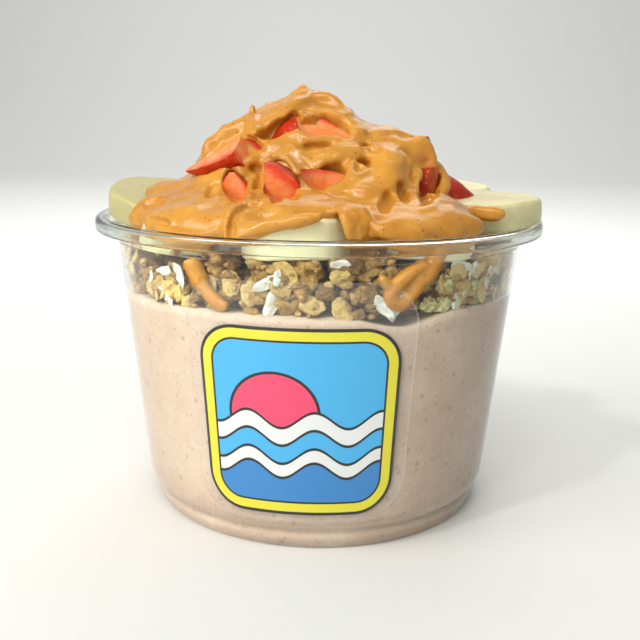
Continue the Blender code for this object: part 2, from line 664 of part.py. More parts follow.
def mound_core(group):
    """The body of nut butter under the ropes."""
    shape = bmesh.new()
    bmesh.ops.create_uvsphere(shape, u_segments=64, v_segments=40, radius=1.0)
    for point in shape.verts:
        share = min(1.0, math.hypot(point.co.x, point.co.y))
        turn = math.atan2(point.co.y, point.co.x)
        reach = SKIRT_RADIUS * (1.0 + 0.03 * math.sin(3 * turn + 0.5) + 0.025 * math.sin(5 * turn + 2.0))
        x, y = reach * share * math.cos(turn), reach * share * math.sin(turn)
        body = math.sqrt(1.0 - share**8)
        if point.co.z >= 0:
            bumps = 1.1 * noise.noise(Vector((x / 6.0, y / 6.0, 0.7)))
            height = SKIRT_EDGE_HEIGHT + (mound_height(x, y) + bumps - SKIRT_EDGE_HEIGHT) * body
        else:
            height = SKIRT_EDGE_HEIGHT - (SKIRT_EDGE_HEIGHT - NUT_BUTTER_FLOOR) * body
        point.co = Vector((x, y, height)) * MM
    return add_bmesh("core", shape, group)


def back_rope_points(share, draw):
    """A strand across the side of the mound that faces away from the label."""
    points = []
    for angle in range(75, 286, 30):
        swing = share + 0.08 * math.sin(math.radians(angle * 2.5)) + draw.uniform(-0.05, 0.05)
        reach = MOUND_REACH_LEFT if angle > 180 else MOUND_REACH_RIGHT
        x = MOUND_CENTRE[0] + reach * swing * math.sin(math.radians(angle))
        y = MOUND_CENTRE[1] - MOUND_REACH_DEPTH * swing * math.cos(math.radians(angle))
        points.append((x, y))
    return points


def nut_butter(group):
    """Poured nut butter: mound, lobes, ropes and drips in one body, cut clear of the fruit."""
    helper = collection("nut_butter_pieces")
    mound_core(helper)
    for angle, distance, height, slope, half in LOBES:
        turn = Matrix.Rotation(math.radians(angle), 4, "Z") @ Matrix.Rotation(math.radians(slope), 4, "X")
        blob(helper, polar(angle, distance, height), half, turn, 0.10, 4, angle)
    draw = random.Random(5)
    strands = list(FRONT_ROPES)
    strands += [(BACK_ROPE_RADIUS, back_rope_points(share, draw)) for share in BACK_ROPE_ROWS]
    for radius, path in strands:
        rope(helper, [on_mound(x, y) + mound_normal(x, y) * radius * 0.45 for x, y in path], radius)
    for (x, y), tip in PEAKS:
        foot = mound_height(x, y) - 2.5
        rope(helper, [Vector((x, y, foot)), Vector((x - 0.3, y, (foot + tip) / 2)), Vector((x, y, tip))], 1.5, 0.3)
    drip_ropes(helper, 0.0)
    made = joined("nut_butter", helper, group, NUT_BUTTER)
    remesh = made.modifiers.new("skin", "REMESH")
    remesh.mode = "VOXEL"
    remesh.voxel_size = VOXEL * MM
    soften = made.modifiers.new("soften", "SMOOTH")
    soften.factor = 0.5
    soften.iterations = 2
    applied(made)
    thin_out(made, NUT_BUTTER_TRIANGLES)
    fit_round_fruit(made)
    thin_out(made, 2 * NUT_BUTTER_TRIANGLES)
    return made


def fit_round_fruit(made):
    """Cuts the nut butter to the cup's inside and clear of every piece of fruit."""
    cutters = collection("nut_butter_cutters")
    keep_within(made, nut_butter_room(cutters))
    fruit = [banana_slice(name, cutters, None, FRUIT_GAP) for name in BANANAS]
    fruit += [strawberry_piece(name, cutters, None, FRUIT_GAP) for name in STRAWBERRIES]
    cut_away(made, fruit)
    remove_all(cutters)
    keep_largest_body(made)


def thin_out(made, triangles):
    """Merges the smallest faces until about this many triangles are left."""
    count = sum(len(face.vertices) - 2 for face in made.data.polygons)
    fewer = made.modifiers.new("fewer", "DECIMATE")
    fewer.ratio = min(1.0, triangles / count)
    applied(made)
    shape = bmesh.new()
    shape.from_mesh(made.data)
    bmesh.ops.dissolve_degenerate(shape, dist=0.03 * MM, edges=shape.edges)
    bmesh.ops.triangulate(shape, faces=shape.faces)
    shape.to_mesh(made.data)
    shape.free()


def joined(name, helper, group, look):
    """All of a collection's meshes as one object."""
    shape = bmesh.new()
    for piece in helper.objects:
        shape.from_mesh(piece.data)
    remove_all(helper)
    return add_bmesh(name, shape, group, look)


def nut_butter_room(group):
    """Inside of the cup above the granola, the air above its lip, and the way of the drips."""
    profile = [
        (0.0, 130.0),
        (LIP_RADIUS - 3.0, 130.0),
        (LIP_RADIUS - 3.0, CUP_HEIGHT - 1.6),
        (WALL_TOP[0] - WALL - GAP, GRANOLA_RIM_TOP + GAP),
        (RIM_ROOM_RADIUS, GRANOLA_RIM_TOP + GAP),
        (RIM_ROOM_RADIUS, GRANOLA_TOP + GAP),
        (0.0, GRANOLA_TOP + GAP),
    ]
    made = applied(turned("nut_butter_room", profile, group))
    for drip in drip_ropes(group, 0.05):
        boolean(made, drip, "UNION")
    return made


def build():
    clear_scene()
    parts = collection("acai_bowl")
    cup(parts)
    label(parts)
    smoothie(parts)
    granola(parts)
    for name in BANANAS:
        banana_slice(name, parts, BANANA)
    for name in STRAWBERRIES:
        strawberry_piece(name, parts, STRAWBERRY)
    nut_butter(parts)


build()
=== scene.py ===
import math
import random

import bmesh
import bpy
import numpy as np
from mathutils import Matrix, Vector, noise


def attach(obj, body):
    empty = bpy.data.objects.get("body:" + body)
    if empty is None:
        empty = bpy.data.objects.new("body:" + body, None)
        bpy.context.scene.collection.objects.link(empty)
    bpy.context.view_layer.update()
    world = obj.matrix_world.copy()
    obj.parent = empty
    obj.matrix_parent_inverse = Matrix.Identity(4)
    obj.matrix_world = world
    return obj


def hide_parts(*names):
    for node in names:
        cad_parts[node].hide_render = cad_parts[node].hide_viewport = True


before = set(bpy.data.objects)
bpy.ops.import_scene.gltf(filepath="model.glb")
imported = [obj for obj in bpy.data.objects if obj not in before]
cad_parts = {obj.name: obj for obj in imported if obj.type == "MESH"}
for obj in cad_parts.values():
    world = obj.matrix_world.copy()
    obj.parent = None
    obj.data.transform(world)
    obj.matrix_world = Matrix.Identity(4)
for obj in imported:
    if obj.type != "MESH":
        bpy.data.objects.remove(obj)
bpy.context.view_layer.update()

# The cup stands on the origin with its label towards -Y. Sizes are in millimetres, angles in degrees from
# the front round to the right, and meshes are written in metres.
mm = 0.001
scene = bpy.context.scene


def polar(angle, distance, height):
    turn = math.radians(angle)
    return Vector((distance * math.sin(turn), -distance * math.cos(turn), height))


def meshFrom(name, points, faces):
    mesh = bpy.data.meshes.new(name)
    mesh.from_pydata([tuple(c * mm for c in p) for p in points], [], faces)
    mesh.update()
    return mesh


def ringFaces(ringCount, steps, closed=True):
    faces = []
    for low in range(0, (ringCount - 1) * steps, steps):
        for i in range(steps if closed else steps - 1):
            j = (i + 1) % steps
            faces.append((low + i, low + j, low + steps + j, low + steps + i))
    return faces


def cappedFaces(ringCount, steps):
    last = (ringCount - 1) * steps
    return ringFaces(ringCount, steps) + [tuple(reversed(range(steps))), tuple(range(last, last + steps))]


def joinShapes(shapes):
    # Each shape starts with its points and its faces
    points, faces = [], []
    for shape in shapes:
        faces += [tuple(i + len(points) for i in face) for face in shape[1]]
        points += shape[0]
    return points, faces


def ringPoints(rings):
    return [point for ring in rings for point in ring]


def addPiece(name, mesh, looks, nodes=()):
    piece = bpy.data.objects.new(name, mesh)
    scene.collection.objects.link(piece)
    for look in looks:
        piece.data.materials.append(look)
    mesh.shade_smooth()
    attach(piece, "root")
    if nodes:
        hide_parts(*nodes)
    return piece


def applyModifiers(piece):
    bpy.context.view_layer.update()
    graph = bpy.context.evaluated_depsgraph_get()
    mesh = bpy.data.meshes.new_from_object(piece.evaluated_get(graph))
    piece.modifiers.clear()
    piece.data = mesh


def storeValues(mesh, name, values):
    layer = mesh.attributes.new(name, "FLOAT", "POINT")
    layer.data.foreach_set("value", np.asarray(values, np.float32))


def nodesNamed(start):
    return sorted(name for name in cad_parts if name.startswith(start))


def nodePoints(node):
    return np.array([point.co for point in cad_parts[node].data.vertices], float) / mm


# Shader helpers
def newLook(name, finish):
    look = bpy.data.materials.new(name)
    look.use_nodes = True
    shader = look.node_tree.nodes["Principled BSDF"]
    for key, value in finish.items():
        shader.inputs[key].default_value = value
    return look, look.node_tree, shader


def addNode(tree, kind, values=None, **settings):
    node = tree.nodes.new(kind)
    for key, value in settings.items():
        setattr(node, key, value)
    for key, value in (values or {}).items():
        node.inputs[key].default_value = value
    return node


def newGroup(name, inputs, outputs):
    group = bpy.data.node_groups.new(name, "ShaderNodeTree")
    for label, kind, value in inputs:
        socket = group.interface.new_socket(label, in_out="INPUT", socket_type=kind)
        socket.default_value = value
    for label, kind in outputs:
        group.interface.new_socket(label, in_out="OUTPUT", socket_type=kind)
    return group, group.nodes.new("NodeGroupInput"), group.nodes.new("NodeGroupOutput")


def mixColours(tree, mask, first, second):
    mix = addNode(tree, "ShaderNodeMix", data_type="RGBA")
    tree.links.new(mask, mix.inputs["Factor"])
    for socket, value in ((mix.inputs["A"], first), (mix.inputs["B"], second)):
        if isinstance(value, tuple):
            socket.default_value = (*value, 1.0)
        else:
            tree.links.new(value, socket)
    return mix.outputs["Result"]


def mathNode(tree, operation, first, second=None, third=None, clamp=False):
    node = addNode(tree, "ShaderNodeMath", operation=operation, use_clamp=clamp)
    for socket, value in zip(node.inputs, (first, second, third)):
        if value is None:
            continue
        if isinstance(value, (int, float)):
            socket.default_value = value
        else:
            tree.links.new(value, socket)
    return node.outputs[0]


def makeMottleGroup():
    group, enter, leave = newGroup(
        "mottle",
        (("Scale", "NodeSocketFloat", 200.0), ("Low", "NodeSocketFloat", 0.4), ("High", "NodeSocketFloat", 0.6)),
        (("Mask", "NodeSocketFloat"),),
    )
    place = addNode(group, "ShaderNodeTexCoord")
    cloud = addNode(group, "ShaderNodeTexNoise", {"Detail": 4.0, "Roughness": 0.6})
    ramp = addNode(group, "ShaderNodeMapRange", interpolation_type="SMOOTHSTEP")
    group.links.new(place.outputs["Object"], cloud.inputs["Vector"])
    group.links.new(enter.outputs["Scale"], cloud.inputs["Scale"])
    group.links.new(cloud.outputs["Fac"], ramp.inputs["Value"])
    group.links.new(enter.outputs["Low"], ramp.inputs["From Min"])
    group.links.new(enter.outputs["High"], ramp.inputs["From Max"])
    group.links.new(ramp.outputs["Result"], leave.inputs["Mask"])
    return group


def makeSpeckGroup():
    group, enter, leave = newGroup(
        "specks",
        (("Scale", "NodeSocketFloat", 400.0), ("Size", "NodeSocketFloat", 0.15), ("Share", "NodeSocketFloat", 0.5)),
        (("Mask", "NodeSocketFloat"),),
    )
    place = addNode(group, "ShaderNodeTexCoord")
    cells = addNode(group, "ShaderNodeTexVoronoi")
    group.links.new(place.outputs["Object"], cells.inputs["Vector"])
    group.links.new(enter.outputs["Scale"], cells.inputs["Scale"])
    split = addNode(group, "ShaderNodeSeparateColor")
    group.links.new(cells.outputs["Color"], split.inputs["Color"])
    chosen = mathNode(group, "LESS_THAN", split.outputs["Red"], enter.outputs["Share"])
    reach = mathNode(group, "MULTIPLY", split.outputs["Green"], enter.outputs["Size"])
    near = mathNode(group, "SUBTRACT", reach, cells.outputs["Distance"])
    sharp = mathNode(group, "MULTIPLY", near, 14.0, clamp=True)
    group.links.new(mathNode(group, "MULTIPLY", sharp, chosen), leave.inputs["Mask"])
    return group


mottleGroup = makeMottleGroup()
speckGroup = makeSpeckGroup()


def useGroup(tree, group, **values):
    return addNode(tree, "ShaderNodeGroup", values, node_tree=group).outputs[0]


def maskNode(tree, kind, scale, first, second):
    # Clouds take two limits, specks take a size and a share
    if kind == "cloud":
        return useGroup(tree, mottleGroup, Scale=scale, Low=first, High=second)
    return useGroup(tree, speckGroup, Scale=scale, Size=first, Share=second)


def addMarks(tree, colour, marks):
    # Each mark is a mask's four values, then its weight and colour
    for *mask, weight, paint in marks:
        colour = mixColours(tree, mathNode(tree, "MULTIPLY", maskNode(tree, *mask), weight), colour, paint)
    return colour


def storedValue(tree, name):
    return addNode(tree, "ShaderNodeAttribute", attribute_name=name).outputs["Fac"]


def rampNode(tree, value, low, high):
    ramp = addNode(tree, "ShaderNodeMapRange", {"From Min": low, "From Max": high}, interpolation_type="SMOOTHSTEP")
    tree.links.new(value, ramp.inputs["Value"])
    return ramp.outputs["Result"]


def addBump(tree, shader, height, strength, distance):
    bump = addNode(tree, "ShaderNodeBump", {"Strength": strength, "Distance": distance * mm})
    tree.links.new(height, bump.inputs["Height"])
    tree.links.new(bump.outputs["Normal"], shader.inputs["Normal"])


def addSurface(tree, shader, colour, scale, strength, distance):
    tree.links.new(colour, shader.inputs["Base Color"])
    addBump(tree, shader, maskNode(tree, "cloud", scale, 0.3, 0.7), strength, distance)


# Cup
cup = {
    "lipRadius": 58.5,
    "height": 76.6,
    "wall": 0.6,
    "wallTop": (53.3, 71.4),
    "ledgeHeight": 70.6,
    "ledgeStep": 0.5,
    "wallBottom": (46.1, 9.0),
    "footStep": 5.4,
    "footRadius": 42.0,
    "footRing": 3.4,
    "panelLift": 1.2,
    "fillet": 0.9,
    "turns": 160,
    "finish": {"Base Color": (0.955, 0.985, 0.97, 1.0), "Specular Tint": (0.4, 0.4, 0.4, 1.0), "IOR": 1.48,
               "Transmission Weight": 1.0},
    "smears": ("cloud", 60.0, 0.45, 0.75),
    "roughness": (0.04, 0.02),
    "shadow": (0.93, 0.96, 0.945, 1.0),
}


def wallRadius(height):
    topRadius, top = cup["wallTop"][0] - cup["ledgeStep"], cup["ledgeHeight"]
    bottomRadius, bottom = cup["wallBottom"]
    return bottomRadius + (topRadius - bottomRadius) * (height - bottom) / (top - bottom)


def innerRadius(height):
    return wallRadius(height) - cup["wall"]


def filleted(outline, radius, steps=4):
    path = [Vector(outline[0])]
    for before, corner, after in zip(outline, outline[1:], outline[2:]):
        corner = Vector(corner)
        back, ahead = Vector(before) - corner, Vector(after) - corner
        start = corner + back.normalized() * min(radius, 0.45 * back.length)
        end = corner + ahead.normalized() * min(radius, 0.45 * ahead.length)
        for i in range(steps + 1):
            t = i / steps
            path.append(start * (1 - t) ** 2 + corner * 2 * t * (1 - t) + end * t**2)
    return path + [Vector(outline[-1])]


def cupInside():
    # From the middle of the raised base to the foot of the wall
    side, low = cup["wallBottom"]
    foot, ring, step, wall = cup["footRadius"], cup["footRing"], cup["footStep"], cup["wall"]
    return [
        (0.0, cup["panelLift"] + wall),
        (foot - ring - 1.0, cup["panelLift"] + wall),
        (foot - ring + 0.4, wall),
        (foot - 0.3, wall),
        (foot + 0.9, 1.7),
        (side - 2.7, step - 1.6),
        (side - 3.0, step - 0.3),
        (side - 1.7, low - 2.6),
    ]


def cupOutline():
    lip, height, wall = cup["lipRadius"], cup["height"], cup["wall"]
    topRadius, top = cup["wallTop"]
    ledge, step = cup["ledgeHeight"], cup["ledgeStep"]
    side, low = cup["wallBottom"]
    foot, ring, footStep = cup["footRadius"], cup["footRing"], cup["footStep"]
    inner = cupInside() + [
        (side - wall, low),
        (topRadius - step - wall, ledge),
        (topRadius - wall, ledge + 0.4),
        (topRadius + 0.2, top + 1.2),
        (lip - 4.2, height - 2.4),
        (lip - 2.9, height - 0.4),
    ]
    outer = [
        (lip - 2.0, height),
        (lip - 0.9, height),
        (lip, height - 0.9),
        (lip, height - 3.4),
        (lip - 0.6, height - 3.4),
        (lip - 0.7, height - 1.3),
        (lip - 1.4, height - 0.8),
        (lip - 2.3, height - 1.0),
        (lip - 3.4, height - 2.9),
        (topRadius + 0.6, top + 0.7),
        (topRadius, ledge + 0.3),
        (topRadius - step, ledge),
        (side, low),
        (side - 0.9, low - 2.4),
        (side - 2.4, footStep),
        (side - 2.0, footStep - 1.2),
        (foot + 1.5, 1.2),
        (foot, 0.0),
        (foot - ring, 0.0),
        (foot - ring - 1.2, cup["panelLift"]),
        (0.0, cup["panelLift"]),
    ]
    return filleted(inner + outer, cup["fillet"])


def makePetLook():
    look, tree, shader = newLook("clearPet", cup["finish"])
    rough = mathNode(tree, "MULTIPLY_ADD", maskNode(tree, *cup["smears"]), *cup["roughness"])
    tree.links.new(rough, shader.inputs["Roughness"])
    # Light reaches the food straight through the thin wall
    path = addNode(tree, "ShaderNodeLightPath")
    clear = addNode(tree, "ShaderNodeBsdfTransparent", {"Color": cup["shadow"]})
    mix = addNode(tree, "ShaderNodeMixShader")
    tree.links.new(path.outputs["Is Shadow Ray"], mix.inputs["Fac"])
    tree.links.new(shader.outputs["BSDF"], mix.inputs[1])
    tree.links.new(clear.outputs["BSDF"], mix.inputs[2])
    tree.links.new(mix.outputs["Shader"], tree.nodes["Material Output"].inputs["Surface"])
    return look


def makeCup():
    outline = cupOutline()
    mesh = bpy.data.meshes.new("cupShell")
    mesh.from_pydata([(p.x * mm, 0.0, p.y * mm) for p in outline], [(i, i + 1) for i in range(len(outline) - 1)], [])
    piece = addPiece("cupShell", mesh, [makePetLook()], ["cup"])
    screw = piece.modifiers.new("turn", "SCREW")
    screw.steps = screw.render_steps = cup["turns"]
    screw.use_merge_vertices = True
    screw.merge_threshold = 1e-6
    screw.use_smooth_shade = True
    applyModifiers(piece)


makeCup()
print("cup done")


# Blended fruit up to the granola
smoothie = {
    "top": 58.6,
    "swell": (1.3, 17.0),  # height, width
    "ripple": (0.35, 3.0),
    "dip": (23.0, 1.7, 0.03),  # angle, depth, spread
    "shoulder": (0.4, 0.985),  # drop at the wall, share of the radius where it starts
    "intoWall": 0.25,
    # How far it reaches out and down into the cup's base and foot
    "intoFoot": ((0.2, 0.2), (0.0, 0.2), (0.0, 0.2), (0.0, 0.2), (0.2, 0.1), (0.25, 0.0), (0.25, 0.0), (0.25, 0.0)),
    "wallShares": (0.0, 0.2, 0.4, 0.6, 0.8, 0.9, 0.96, 1.0),
    "topShares": (0.995, 0.985, 0.96, 0.9, 0.8, 0.6, 0.3, 0.004),
    "steps": 220,
    "finish": {"Roughness": 0.42, "Subsurface Weight": 0.12, "Subsurface Radius": (1.0, 0.5, 0.35),
               "Subsurface Scale": 0.003},
    "grain": (420.0, 0.25, 0.15),
    "colour": (0.60, 0.455, 0.355),
    "marks": (
        ("cloud", 45.0, 0.35, 0.70, 1.00, (0.67, 0.535, 0.425)),
        ("cloud", 170.0, 0.50, 0.72, 0.40, (0.53, 0.375, 0.285)),
        ("cloud", 90.0, 0.55, 0.75, 0.40, (0.72, 0.60, 0.49)),
        ("speck", 1300.0, 0.55, 0.30, 0.30, (0.80, 0.70, 0.60)),
        ("speck", 900.0, 0.50, 0.45, 0.32, (0.36, 0.26, 0.20)),
        ("speck", 380.0, 0.32, 0.45, 0.45, (0.32, 0.24, 0.18)),
        ("speck", 170.0, 0.22, 0.45, 0.35, (0.62, 0.34, 0.28)),
        ("speck", 130.0, 0.18, 0.35, 0.40, (0.28, 0.29, 0.20)),
        ("speck", 75.0, 0.11, 0.35, 0.75, (0.20, 0.135, 0.10)),
    ),
}


def smoothieHeight(x, y):
    waves = 0.0
    for (high, wide), layer in ((smoothie["swell"], 3.1), (smoothie["ripple"], 1.7)):
        waves += high * noise.noise(Vector((x / wide, y / wide, layer)))
    angle, deep, spread = smoothie["dip"]
    dip = math.exp(-((math.atan2(x, -y) - math.radians(angle)) ** 2) / spread)
    return smoothie["top"] + waves - deep * dip * min(1.0, math.hypot(x, y) / 40)


def makeSmoothieLook():
    look, tree, shader = newLook("blendedFruit", smoothie["finish"])
    addSurface(tree, shader, addMarks(tree, smoothie["colour"], smoothie["marks"]), *smoothie["grain"])
    return look


def makeSmoothie():
    steps, low = smoothie["steps"], cup["wallBottom"][1]
    fall, edge = smoothie["shoulder"]
    rims = [polar(360.0 * i / steps, innerRadius(smoothie["top"]), 0.0) for i in range(steps)]
    rings = []
    for (radius, height), (out, down) in zip(cupInside(), smoothie["intoFoot"]):
        rings.append([polar(360.0 * i / steps, radius + out, height - down) for i in range(steps)])
    for share in smoothie["wallShares"]:
        ring = []
        for i, rim in enumerate(rims):
            height = low + (smoothieHeight(rim.x, rim.y) - fall - low) * share
            ring.append(polar(360.0 * i / steps, innerRadius(height) + smoothie["intoWall"], height))
        rings.append(ring)
    for share in smoothie["topShares"]:
        drop = fall * max(0.0, share - edge) / (1.0 - edge)
        flats = [polar(360.0 * i / steps, innerRadius(smoothie["top"]) * share, 0.0) for i in range(steps)]
        rings.append([Vector((flat.x, flat.y, smoothieHeight(flat.x, flat.y) - drop)) for flat in flats])
    mesh = meshFrom("blendedFruit", ringPoints(rings), cappedFaces(len(rings), steps))
    addPiece("blendedFruit", mesh, [makeSmoothieLook()], ["smoothie"])


makeSmoothie()
print("smoothie done")


# Banana slices, each fitted to its own solid
banana = {
    "steps": 96,
    "faceRings": 16,
    "edge": 1.4,
    "bulge": 0.12,
    "finish": {"Roughness": 0.38, "Coat Weight": 0.15, "Coat Roughness": 0.2, "Subsurface Weight": 0.25,
               "Subsurface Radius": (1.0, 0.8, 0.4), "Subsurface Scale": 0.004},
    "grain": (600.0, 0.3, 0.12),
    "coreEdge": (0.56, 0.40, 0.55),  # shares of the radius where the core starts and is full, and its weight
    "cloud": ("cloud", 160.0, 0.35, 0.75, 0.5),
    "sideTone": 0.7,
    "flesh": (0.90, 0.81, 0.43),
    "rim": (0.92, 0.87, 0.56),
    "core": (0.66, 0.52, 0.19),
    # Painted shade on whole slices: the shaded flesh colour, then how much unshaded flesh each slice keeps (0 none, 1
    # all; slices not listed keep all)
    "shadedFlesh": (0.47, 0.43, 0.20),
    "sliceLight": {"banana_left": 0.05, "banana_right": 0.50, "banana_front_left": 0.55, "banana_left_back": 0.45},
}


def discFrame(points):
    middle = points.mean(0)
    axes = np.linalg.svd(points - middle, full_matrices=False)[2]
    normal = axes[2] if axes[2][2] > 0 else -axes[2]
    across = axes[0]
    deep = np.cross(normal, across)
    local = (points - middle) @ np.stack([across, deep, normal]).T
    middle = middle + normal * (local[:, 2].max() + local[:, 2].min()) / 2
    radius = (np.ptp(local[:, 0]) + np.ptp(local[:, 1])) / 4
    turn = Matrix((Vector(across), Vector(deep), Vector(normal))).transposed()
    return Vector(middle), turn, radius, np.ptp(local[:, 2]) / 2


def bananaSection(radius, half):
    # From the middle of the lower face round the edge to the middle of the upper face
    edge, rings = banana["edge"], banana["faceRings"]
    flat = radius - edge
    section = [(flat * i / 8, -half) for i in range(8)]
    for start, level in ((-90, edge - half), (0, half - edge)):
        bends = [math.radians(start + 15 * i) for i in range(7)]
        section += [(flat + edge * math.cos(bend), level + edge * math.sin(bend)) for bend in bends]
        if start:
            section.append((radius + banana["bulge"], 0.0))
    return section + [(flat * (1 - i / rings), half) for i in range(1, rings + 1)]


def bananaSlice(node, seed):
    middle, turn, radius, half = discFrame(nodePoints(node))
    steps = banana["steps"]
    section = bananaSection(radius, half)
    points, sides, cores = [], [], []
    for reach, height in section:
        share = reach / radius
        onSide = abs(height) < half - 0.25 * banana["edge"]
        onFace = abs(height) > half - 0.01
        for i in range(steps):
            angle = math.tau * i / steps
            c, s = math.cos(angle), math.sin(angle)
            wave = 1 + 0.038 * math.cos(3 * angle + seed) + 0.018 * math.cos(5 * angle + 2.3 * seed)
            wave += 0.03 * noise.noise(Vector((2.2 * c, 2.2 * s, 3.0 * seed)))
            place = Vector((max(reach, 0.02) * wave * c, max(reach, 0.02) * wave * s, 0))
            if onSide:  # fibres down the side
                place *= 1 + 0.012 * noise.noise(Vector((14 * c, 14 * s, height / 6 + seed)))
            # Three seed pits and a groove round them on each face
            pit = math.exp(-((share - 0.20) / 0.10) ** 2) * max(0.0, math.cos(1.5 * (angle + seed))) ** 6
            groove = math.exp(-((share - 0.46) / 0.05) ** 2)
            drop = 0.35 * pit + 0.12 * groove if onFace else 0.0
            rough = 0.16 * noise.noise(Vector((place.x / 2.2, place.y / 2.2, seed + height)))
            rough += 0.6 * noise.noise(Vector((place.x / 9.0, place.y / 9.0, 2.0 * seed)))
            place.z = height - math.copysign(drop, height) + rough
            points.append(middle + turn @ place)
        sides += [float(onSide)] * steps
        cores += [share] * steps
    # Each slice's share of unshaded flesh, for the painted shade
    sliceLights = [banana["sliceLight"].get(node, 1.0)] * len(points)
    return points, ringFaces(len(section), steps), {"sliceLight": sliceLights, "side": sides, "reach": cores}


def makeBananaLook():
    look, tree, shader = newLook("bananaFlesh", banana["finish"])
    start, full, weight = banana["coreEdge"]
    inside = mathNode(tree, "MULTIPLY", rampNode(tree, storedValue(tree, "reach"), start, full), weight)
    colour = mixColours(tree, inside, banana["flesh"], banana["core"])
    colour = addMarks(tree, colour, [(*banana["cloud"], banana["rim"])])
    side = mathNode(tree, "MULTIPLY", storedValue(tree, "side"), banana["sideTone"])
    colour = mixColours(tree, side, colour, banana["rim"])
    # Painted shade: dimmer slices are mixed towards the shaded flesh colour
    colour = mixColours(tree, storedValue(tree, "sliceLight"), banana["shadedFlesh"], colour)
    addSurface(tree, shader, colour, *banana["grain"])
    return look


def makeBananas():
    nodes = nodesNamed("banana_")
    slices = [bananaSlice(node, 1.0 + 0.7 * number) for number, node in enumerate(nodes)]
    mesh = meshFrom("bananaSlices", *joinShapes(slices))
    for name in ("sliceLight", "side", "reach"):
        storeValues(mesh, name, [value for shape in slices for value in shape[2][name]])
    addPiece("bananaSlices", mesh, [makeBananaLook()], nodes)


makeBananas()
print("bananas done")


# Floor, sky and the photo's point of view, which also places the gaps in the nut butter
stage = {
    "floor": (0.80, 0.80, 0.79),
    "sky": (0.97, 1.0, 0.94),
    "skyStrength": 0.36,
    "distance": 245.96,
    "eyeHeight": 102.52,
    "pitch": 12.735,
    "roll": 0.778,
    "yaw": 0.131,
    "lens": 51.58,
}


# Mound of nut butter over diced strawberry
mound = {
    "centre": (-3.0, 2.0),
    "reachLeft": 36.0,
    "reachRight": 40.0,
    "reachDeep": 36.0,
    "foot": 79.0,
    "rise": 24.0,
    "fullness": (3.5, 1.9),
    "ridgeRise": 5.5,
    "ridgeCentre": (-2.5, 1.0),
    "ridgeSpread": (7.0, 14.0),
    "dip": (12.5, 4.2, 2.8),
    "skirtRadius": 43.0,
    "skirtHeight": 75.5,
    "floor": 70.0,
    "voxel": 0.54,
}


def moundHeight(x, y):
    reach = mound["reachLeft"] if x < mound["centre"][0] else mound["reachRight"]
    across = abs(x - mound["centre"][0]) / reach
    deep = abs(y - mound["centre"][1]) / mound["reachDeep"]
    slope = min(1.0, across ** mound["fullness"][0] + deep ** mound["fullness"][1])
    ridgeX = (x - mound["ridgeCentre"][0]) / mound["ridgeSpread"][0]
    ridgeY = (y - mound["ridgeCentre"][1]) / mound["ridgeSpread"][1]
    dipX, dipWidth, dipDepth = mound["dip"]
    dip = dipDepth * math.exp(-(((x - dipX) / dipWidth) ** 2 + (y / 16.0) ** 2) / 2)
    ridge = mound["ridgeRise"] * math.exp(-(ridgeX**2 + ridgeY**2) / 2)
    return mound["foot"] + mound["rise"] * (1 - slope) + ridge - dip


def moundNormal(x, y):
    slopeX = moundHeight(x + 0.5, y) - moundHeight(x - 0.5, y)
    slopeY = moundHeight(x, y + 0.5) - moundHeight(x, y - 0.5)
    return Vector((-slopeX, -slopeY, 1.0)).normalized()


def onMound(x, y, lift=0.0):
    return Vector((x, y, moundHeight(x, y))) + moundNormal(x, y) * lift


# Strawberry pieces: cut, size, plan position on the mound, how deep the middle lies under its surface,
# direction of the berry's tip, and direction that its skin faces
strawberry = {
    "left": ("quarter", 0.98, (-25.7, -18.8), 1.9, (-0.80, 0.30, -0.48), (0.08, -0.36, -0.93)),
    "upper_left": ("quarter", 0.44, (-16.2, -18.2), 1.5, (-0.7, 0.0, 0.7), (-0.2, -0.8, 0.5)),
    "top_left": ("quarter", 0.95, (-13.0, -16.4), 5.6, (-0.93, 0.1, -0.35), (0.0, -0.8, 0.5)),
    "top": ("half", 0.86, (0.4, -16.9), 4.6, (0.97, -0.05, -0.10), (0.05, 0.65, -0.75)),
    "low_left": ("half", 0.72, (-20.2, -27.5), 3.5, (-0.1, -0.1, 0.95), (0.3, 0.95, 0.1)),
    "middle": ("quarter", 0.98, (-7.5, -26.7), 1.6, (0.24, 0.92, 0.26), (0.755, 0.0, 0.656)),
    "inner": ("half", 0.72, (0.9, -27.5), 3.7, (0.9, 0.1, 0.4), (0.1, 0.95, 0.1)),
    "under_fold": ("quarter", 0.50, (9.8, -24.1), 3.0, (0.7, 0.1, 0.6), (0.1, -0.9, 0.3)),
    "low_right": ("half", 0.66, (15.9, -30.1), 2.6, (0.1, 0.2, 0.97), (0.1, 0.95, 0.2)),
    "right": ("quarter", 0.78, (28.6, -8.0), 2.0, (0.45, -0.2, -0.85), (0.85, -0.45, 0.3)),
    "finger": ("half", 0.70, (27.6, -18.6), 4.6, (0.2, -0.2, -0.9), (0.3, -0.9, 0.2)),
    "far_right": ("quarter", 1.0, (37.2, -6.5), -0.8, (0.97, -0.1, -0.20), (0.1, -0.8, 0.55)),
    "back_top": ("half", 0.76, (-6.5, 18.0), 0.6, (-0.7, 0.5, -0.4), (0.1, 0.5, 0.8)),
    "back_right": ("quarter", 0.85, (10.5, 21.0), 0.4, (0.8, 0.5, -0.3), (0.2, 0.6, 0.7)),
    "back_low": ("quarter", 0.80, (-4.0, 30.0), 0.2, (-0.9, 0.3, -0.1), (0.1, 0.8, 0.5)),
    "back_left": ("half", 0.74, (-27.5, 15.0), 2.6, (-0.5, 0.5, -0.6), (-0.5, 0.5, 0.7)),
    "back_side": ("quarter", 0.82, (26.0, 17.0), 2.0, (0.5, 0.6, -0.5), (0.5, 0.5, 0.6)),
}
